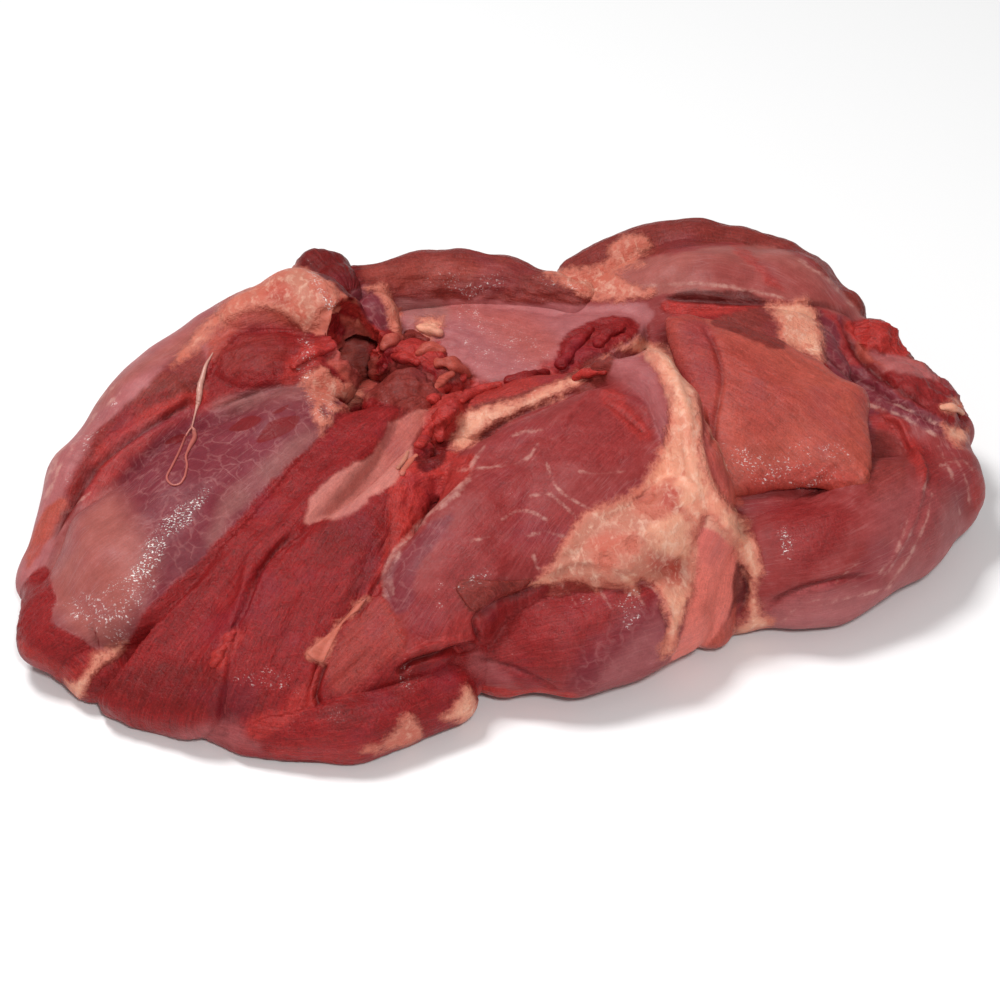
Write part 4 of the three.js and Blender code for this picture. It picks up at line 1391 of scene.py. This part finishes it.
def carried_over(piece, source_tree, source_faces, values):
    """Values of the nearest place on a source mesh, for each vertex of a piece."""
    index = np.empty(len(piece.data.vertices), int)
    spot = np.empty((len(piece.data.vertices), 3))
    for i, vertex in enumerate(piece.data.vertices):
        place, _, face, _ = source_tree.find_nearest(vertex.co)
        index[i], spot[i] = face, place
    faces = source_faces[index]
    points, grain, lobe = values
    a, b, c = (points[faces[:, k]] for k in range(3))
    whole = np.linalg.norm(np.cross(b - a, c - a), axis=1)
    share = np.column_stack([np.linalg.norm(np.cross(b - spot, c - spot), axis=1),
                             np.linalg.norm(np.cross(c - spot, a - spot), axis=1),
                             np.linalg.norm(np.cross(a - spot, b - spot), axis=1)])
    share = share / np.maximum(whole, 1e-12)[:, None]
    mixed = sum(grain[faces[:, k]] * share[:, k:k + 1] for k in range(3))
    return mixed, lobe[faces[:, 0]]


def fused_muscles(title, names, sizes):
    """Muscles that have grown together, remeshed as one, with the joint's hollow cut out."""
    lobes = []
    for k, name in enumerate(names):
        lobe, grain = add_muscle(name, LOBE_SIDES, LOBE_RINGS)
        store(lobe, "grain", grain)
        store(lobe, "lobe", np.full(len(grain), k))
        lobes.append(lobe)
    body = join(title, lobes)
    values = read(body), kept(body, "grain", "vector", 3), kept(body, "lobe").astype(int)
    source = tree_of(body), corners(body), values

    apply_modifier(body, "REMESH", mode="VOXEL", voxel_size=sizes.mesh_size)
    bpy.ops.object.select_all(action="DESELECT")
    bpy.ops.mesh.primitive_ico_sphere_add(subdivisions=6, radius=1)
    pit = bpy.context.object
    middle = np.array(JOINT_PIT["middle"]) - (*MIDDLE_OF_BOX, 0)
    write(pit, read(pit) * JOINT_PIT["half"] + middle)
    apply_modifier(body, "BOOLEAN", operation="DIFFERENCE", solver="MANIFOLD", object=pit)
    bpy.data.objects.remove(pit)
    apply_modifier(body, "SMOOTH", factor=0.5, iterations=sizes.easing)
    thin_where_unseen(body, sizes.most_faces)
    grain, lobe = carried_over(body, *source)
    finishes = np.array([FINISHES.index(OUTSIDE[name]) for name in names])
    work_over(body, grain[:, :2], finishes[lobe])
    return body


def thin_where_unseen(piece, most):
    """Brings a piece's faces down to a number, first where it lies flat on the table."""
    faces = len(corners(piece))
    if faces <= most:
        return
    under = piece.vertex_groups.new(name="under")
    normals, points = read(piece, "normal"), read(piece) / MM
    weight = ease(-0.2, -0.8, normals[:, 2]) * 0.9 + 0.1 * ease(12, 3, points[:, 2])
    for step in range(11):
        chosen = np.nonzero(np.round(weight * 10) == step)[0]
        under.add([int(i) for i in chosen], step / 10, "REPLACE")
    apply_modifier(piece, "DECIMATE", ratio=most / faces, vertex_group="under",
                   vertex_group_factor=8)


def loose_muscle(name):
    piece, grain = add_muscle(name, LOOSE_SIDES, LOOSE_RINGS)
    work_over(piece, grain, np.full(len(grain), FINISHES.index(OUTSIDE[name])))
    return piece


def rays(pixels):
    """Directions from the camera through pixels."""
    across, down = (np.array(pixels, float) - PICTURE / 2).T * (FRAME_WIDTH / PICTURE)
    return unit(FORWARD * AWAY + np.outer(across, (1, 0, 0)) - np.outer(down, UP))


def muscle_trees():
    return [tree_of(piece) for piece in bpy.data.objects
            if piece.name in ("left_muscles", "right_muscles", *LOOSE)]


def meat_under(pixels, trees):
    """Where rays through pixels meet the meat, and the surface's normals there."""
    spots, normals = np.zeros((len(pixels), 3)), np.zeros((len(pixels), 3))
    for i, ray in enumerate(rays(pixels)):
        hits = [tree.ray_cast(EYE, Vector(ray)) for tree in trees]
        hits = [hit for hit in hits if hit[0] is not None]
        if hits:
            place, normal, _, _ = min(hits, key=lambda hit: hit[3])
            spots[i], normals[i] = np.array(place) / MM, normal
    return spots, normals


def thin_sheet(trees, name, at, thick, edge, finish, step=1.6):
    """A thin sheet that clings to the meat inside an outline, with a rounded edge."""
    line = spline(at, np.linspace(0, 1, 8 * len(at) + 1), closed=True)
    low, high = line.min(axis=0) - step, line.max(axis=0) + step
    count = np.ceil((high - low) / step).astype(int)
    bpy.ops.object.select_all(action="DESELECT")
    bpy.ops.mesh.primitive_grid_add(x_subdivisions=int(count[0]), y_subdivisions=int(count[1]),
                                    size=1)
    piece = bpy.context.object
    piece.name = name
    pixels = low + (read(piece)[:, :2] + 0.5) * (high - low)
    gap, share, within = distance_to(pixels, line, closed=True)
    snapped = ~within & (gap < step * 0.8)
    place = np.linspace(0, 1, len(line))
    for axis in (0, 1):
        pixels[snapped, axis] = np.interp(share[snapped], place, line[:, axis])
    depth = np.where(within, gap, 0)
    outer = ~within & ~snapped
    spots, normals = meat_under(pixels, trees)
    keep_away = outer | (normals == 0).all(axis=1)
    write(piece, spots)
    store(piece, "depth", depth)
    for part in (piece.data.polygons, piece.data.edges):
        part.foreach_set("select", np.zeros(len(part), bool))
    piece.data.vertices.foreach_set("select", keep_away)
    bpy.ops.object.mode_set(mode="EDIT")
    bpy.ops.mesh.delete(type="VERT")
    bpy.ops.object.mode_set(mode="OBJECT")
    apply_modifier(piece, "SMOOTH", factor=0.5, iterations=5)
    depth = kept(piece, "depth")
    toward = -rays(to_picture(read(piece) / MM))
    over = np.sqrt(np.clip(1 - (1 - np.clip(depth * PIXEL / edge, 0, 1)) ** 2, 0, 1))
    write(piece, read(piece) / MM + toward * (over * thick - SUNK)[:, None])
    face_outward()
    facing = np.einsum("ij,ij->i", read(piece, "normal"), toward)
    if facing.mean() < 0:
        bpy.ops.object.mode_set(mode="EDIT")
        bpy.ops.mesh.flip_normals()
        bpy.ops.object.mode_set(mode="OBJECT")
    apply_modifier(piece, "SOLIDIFY", thickness=(thick + 4 * SUNK) * MM, offset=-1)
    points = read(piece) / MM
    outside = np.full(len(points), FINISHES.index(finish))
    work_over(piece, points[:, :2], outside, lumps=0.25, shared=False)
    return piece


def torn_tag(trees, at, thick, finish):
    """A ragged tag along a path in pixels, half sunk in the meat under it."""
    piece = add_ball(TAG_SIDES, TAG_RINGS)
    path, normals = meat_under(at, trees)
    sizes = np.array((0.55, 0.75, 0.45)) * thick
    _, points, _ = belly_shape(read(piece), path + normals * (0.1 * thick), sizes, sizes * 0.8)
    write(piece, points)
    face_outward()
    crumbs = 0.26 * noise(points, 4.4, 21) + 0.14 * noise(points, 1.9, 22)
    write(piece, points + read(piece, "normal") * (crumbs * thick)[:, None])
    store(piece, "finish", np.full(len(points), FINISHES.index(finish)))
    return piece


def torn_tags():
    """All the tags, as one piece."""
    trees = muscle_trees()
    piece = join("torn_tags", [torn_tag(trees, **mark) for mark in TAGS])
    finish = kept(piece, "finish").astype(int)
    work_over(piece, read(piece)[:, :2] / MM, finish, lumps=0.2, shared=False)
    return piece


def sinew_thread(sizes):
    """The thread that hangs down over the skin and ends in a loop."""
    shape = bpy.data.curves.new("sinew_thread", "CURVE")
    shape.dimensions = "3D"
    shape.bevel_depth = sizes.thread_size / 2
    shape.bevel_resolution = 4
    shape.use_fill_caps = True
    trees = muscle_trees()
    for run in THREADS:
        share = np.linspace(0, 1, 12 * len(run["at"]))
        spots, normals = meat_under(spline(run["at"], share), trees)
        thick = np.interp(share, np.linspace(0, 1, len(run["thick"])), run["thick"])
        spots = spots + normals * (thick * sizes.thread_size / MM / 2 * 0.6)[:, None]
        line = shape.splines.new("POLY")
        line.points.add(len(share) - 1)
        line.points.foreach_set("co", np.column_stack([spots * MM, np.ones(len(share))]).ravel())
        line.points.foreach_set("radius", thick)
    piece = bpy.data.objects.new("sinew_thread", shape)
    bpy.context.collection.objects.link(piece)
    pick(piece)
    bpy.ops.object.convert(target="MESH")
    piece = bpy.context.object
    height = to_picture(read(piece) / MM)[:, 1]
    store(piece, "redness", ease(412, 440, height) * 0.8)
    return piece


# Add-on

class MeatSizes(bpy.types.PropertyGroup):
    """Sizes that set how fine the meat is modelled."""
    mesh_size: bpy.props.FloatProperty(
        name="Mesh size", default=1.0 * MM, min=0.5 * MM, precision=5, subtype="DISTANCE",
        description="Size of the fused muscles' faces")
    most_faces: bpy.props.IntProperty(
        name="Most faces", default=196000, min=10000,
        description="The most triangles that a fused body may have")
    easing: bpy.props.IntProperty(
        name="Easing", default=6, min=0,
        description="How often the creases between the fused muscles are eased")
    thread_size: bpy.props.FloatProperty(
        name="Thread", default=0.9 * MM, min=0.1 * MM, precision=5, subtype="DISTANCE",
        description="Thickness of the loose thread of sinew")


class MEAT_OT_fused_muscles(bpy.types.Operator):
    """Add the muscles that have grown together"""
    bl_idname = "meat.fused_muscles"
    bl_label = "Fused muscles"

    def execute(self, context):
        fused = [name for name in (*BELLIES, *PADS) if name not in LOOSE]
        left = [name for name in fused if name not in RIGHT]
        for title, names in (("left_muscles", left), ("right_muscles", list(RIGHT))):
            dress(fused_muscles(title, names, context.scene.meat_sizes), raw_meat())
        return {"FINISHED"}


class MEAT_OT_loose_muscles(bpy.types.Operator):
    """Add the flaps, strips and tags that lie on the fused muscles"""
    bl_idname = "meat.loose_muscles"
    bl_label = "Loose muscles"

    def execute(self, context):
        for name in LOOSE:
            dress(loose_muscle(name), raw_meat())
        return {"FINISHED"}


class MEAT_OT_thin_sheets(bpy.types.Operator):
    """Add the torn membrane and the thin flap"""
    bl_idname = "meat.thin_sheets"
    bl_label = "Thin sheets"

    def execute(self, context):
        trees = muscle_trees()
        for sheet in SHEETS:
            dress(thin_sheet(trees, **sheet), raw_meat())
        return {"FINISHED"}


class MEAT_OT_torn_tags(bpy.types.Operator):
    """Add the ragged tags round the joint's hollow and along the cuts"""
    bl_idname = "meat.torn_tags"
    bl_label = "Torn tags"

    def execute(self, context):
        dress(torn_tags(), raw_meat())
        return {"FINISHED"}


class MEAT_OT_sinew_thread(bpy.types.Operator):
    """Add the loose thread of sinew"""
    bl_idname = "meat.sinew_thread"
    bl_label = "Sinew thread"

    def execute(self, context):
        dress(sinew_thread(context.scene.meat_sizes), pale_sinew())
        return {"FINISHED"}


class MEAT_OT_stage(bpy.types.Operator):
    """Add the floor, the lights and the camera"""
    bl_idname = "meat.stage"
    bl_label = "Stage"

    def execute(self, context):
        bpy.ops.object.select_all(action="DESELECT")
        bpy.ops.mesh.primitive_plane_add(size=8)
        floor = context.object
        floor.name = "floor"
        paper = bpy.data.materials.new("pale_paper")
        paper.use_nodes = True
        shader = paper.node_tree.nodes["Principled BSDF"]
        shader.inputs["Base Color"].default_value = (0.93, 0.93, 0.93, 1)
        shader.inputs["Roughness"].default_value = 0.9
        floor.data.materials.append(paper)

        world = bpy.data.worlds.new("studio")
        world.use_nodes = True
        sky = world.node_tree.nodes["Background"]
        sky.inputs["Color"].default_value = (1, 1, 1, 1)
        sky.inputs["Strength"].default_value = 0.3
        context.scene.world = world
        for name, place, size, power, toward in LIGHTS:
            bpy.ops.object.light_add(type="AREA", location=place)
            light = context.object
            light.name = name
            light.data.size = size
            light.data.energy = power
            turned = (Vector(toward) - Vector(place)).to_track_quat("-Z", "Y")
            light.rotation_euler = turned.to_euler()

        bpy.ops.object.camera_add(location=EYE)
        camera = context.object
        camera.rotation_euler = (AIM - EYE).to_track_quat("-Z", "Y").to_euler()
        camera.data.sensor_width = 36
        camera.data.lens = camera.data.sensor_width * AWAY / FRAME_WIDTH
        camera.data.clip_start = 0.01
        context.scene.camera = camera
        context.scene.view_settings.view_transform = "Standard"
        return {"FINISHED"}


class MEAT_PT_shoulder(bpy.types.Panel):
    """Lists the shoulder's pieces and settings"""
    bl_idname = "MEAT_PT_shoulder"
    bl_label = "Raw boned shoulder"
    bl_space_type = "VIEW_3D"
    bl_region_type = "UI"
    bl_category = "Meat"

    def draw(self, context):
        for operator in OPERATORS:
            self.layout.operator(operator.bl_idname)
        for group in (context.scene.meat_sizes, context.scene.meat_colours):
            column = self.layout.column()
            for key in group.__annotations__:
                column.prop(group, key)


OPERATORS = (MEAT_OT_fused_muscles, MEAT_OT_loose_muscles, MEAT_OT_thin_sheets,
             MEAT_OT_torn_tags, MEAT_OT_sinew_thread, MEAT_OT_stage)
CLASSES = (MeatColours, MeatSizes, *OPERATORS, MEAT_PT_shoulder)


def register():
    for cls in CLASSES:
        bpy.utils.register_class(cls)
    bpy.types.Scene.meat_colours = bpy.props.PointerProperty(type=MeatColours)
    bpy.types.Scene.meat_sizes = bpy.props.PointerProperty(type=MeatSizes)


def unregister():
    del bpy.types.Scene.meat_sizes
    del bpy.types.Scene.meat_colours
    for cls in reversed(CLASSES):
        bpy.utils.unregister_class(cls)


def main():
    register()
    bpy.ops.meat.fused_muscles()
    bpy.ops.meat.loose_muscles()
    bpy.ops.meat.thin_sheets()
    bpy.ops.meat.torn_tags()
    bpy.ops.meat.sinew_thread()
    bpy.ops.meat.stage()


if __name__ == "__main__":
    main()
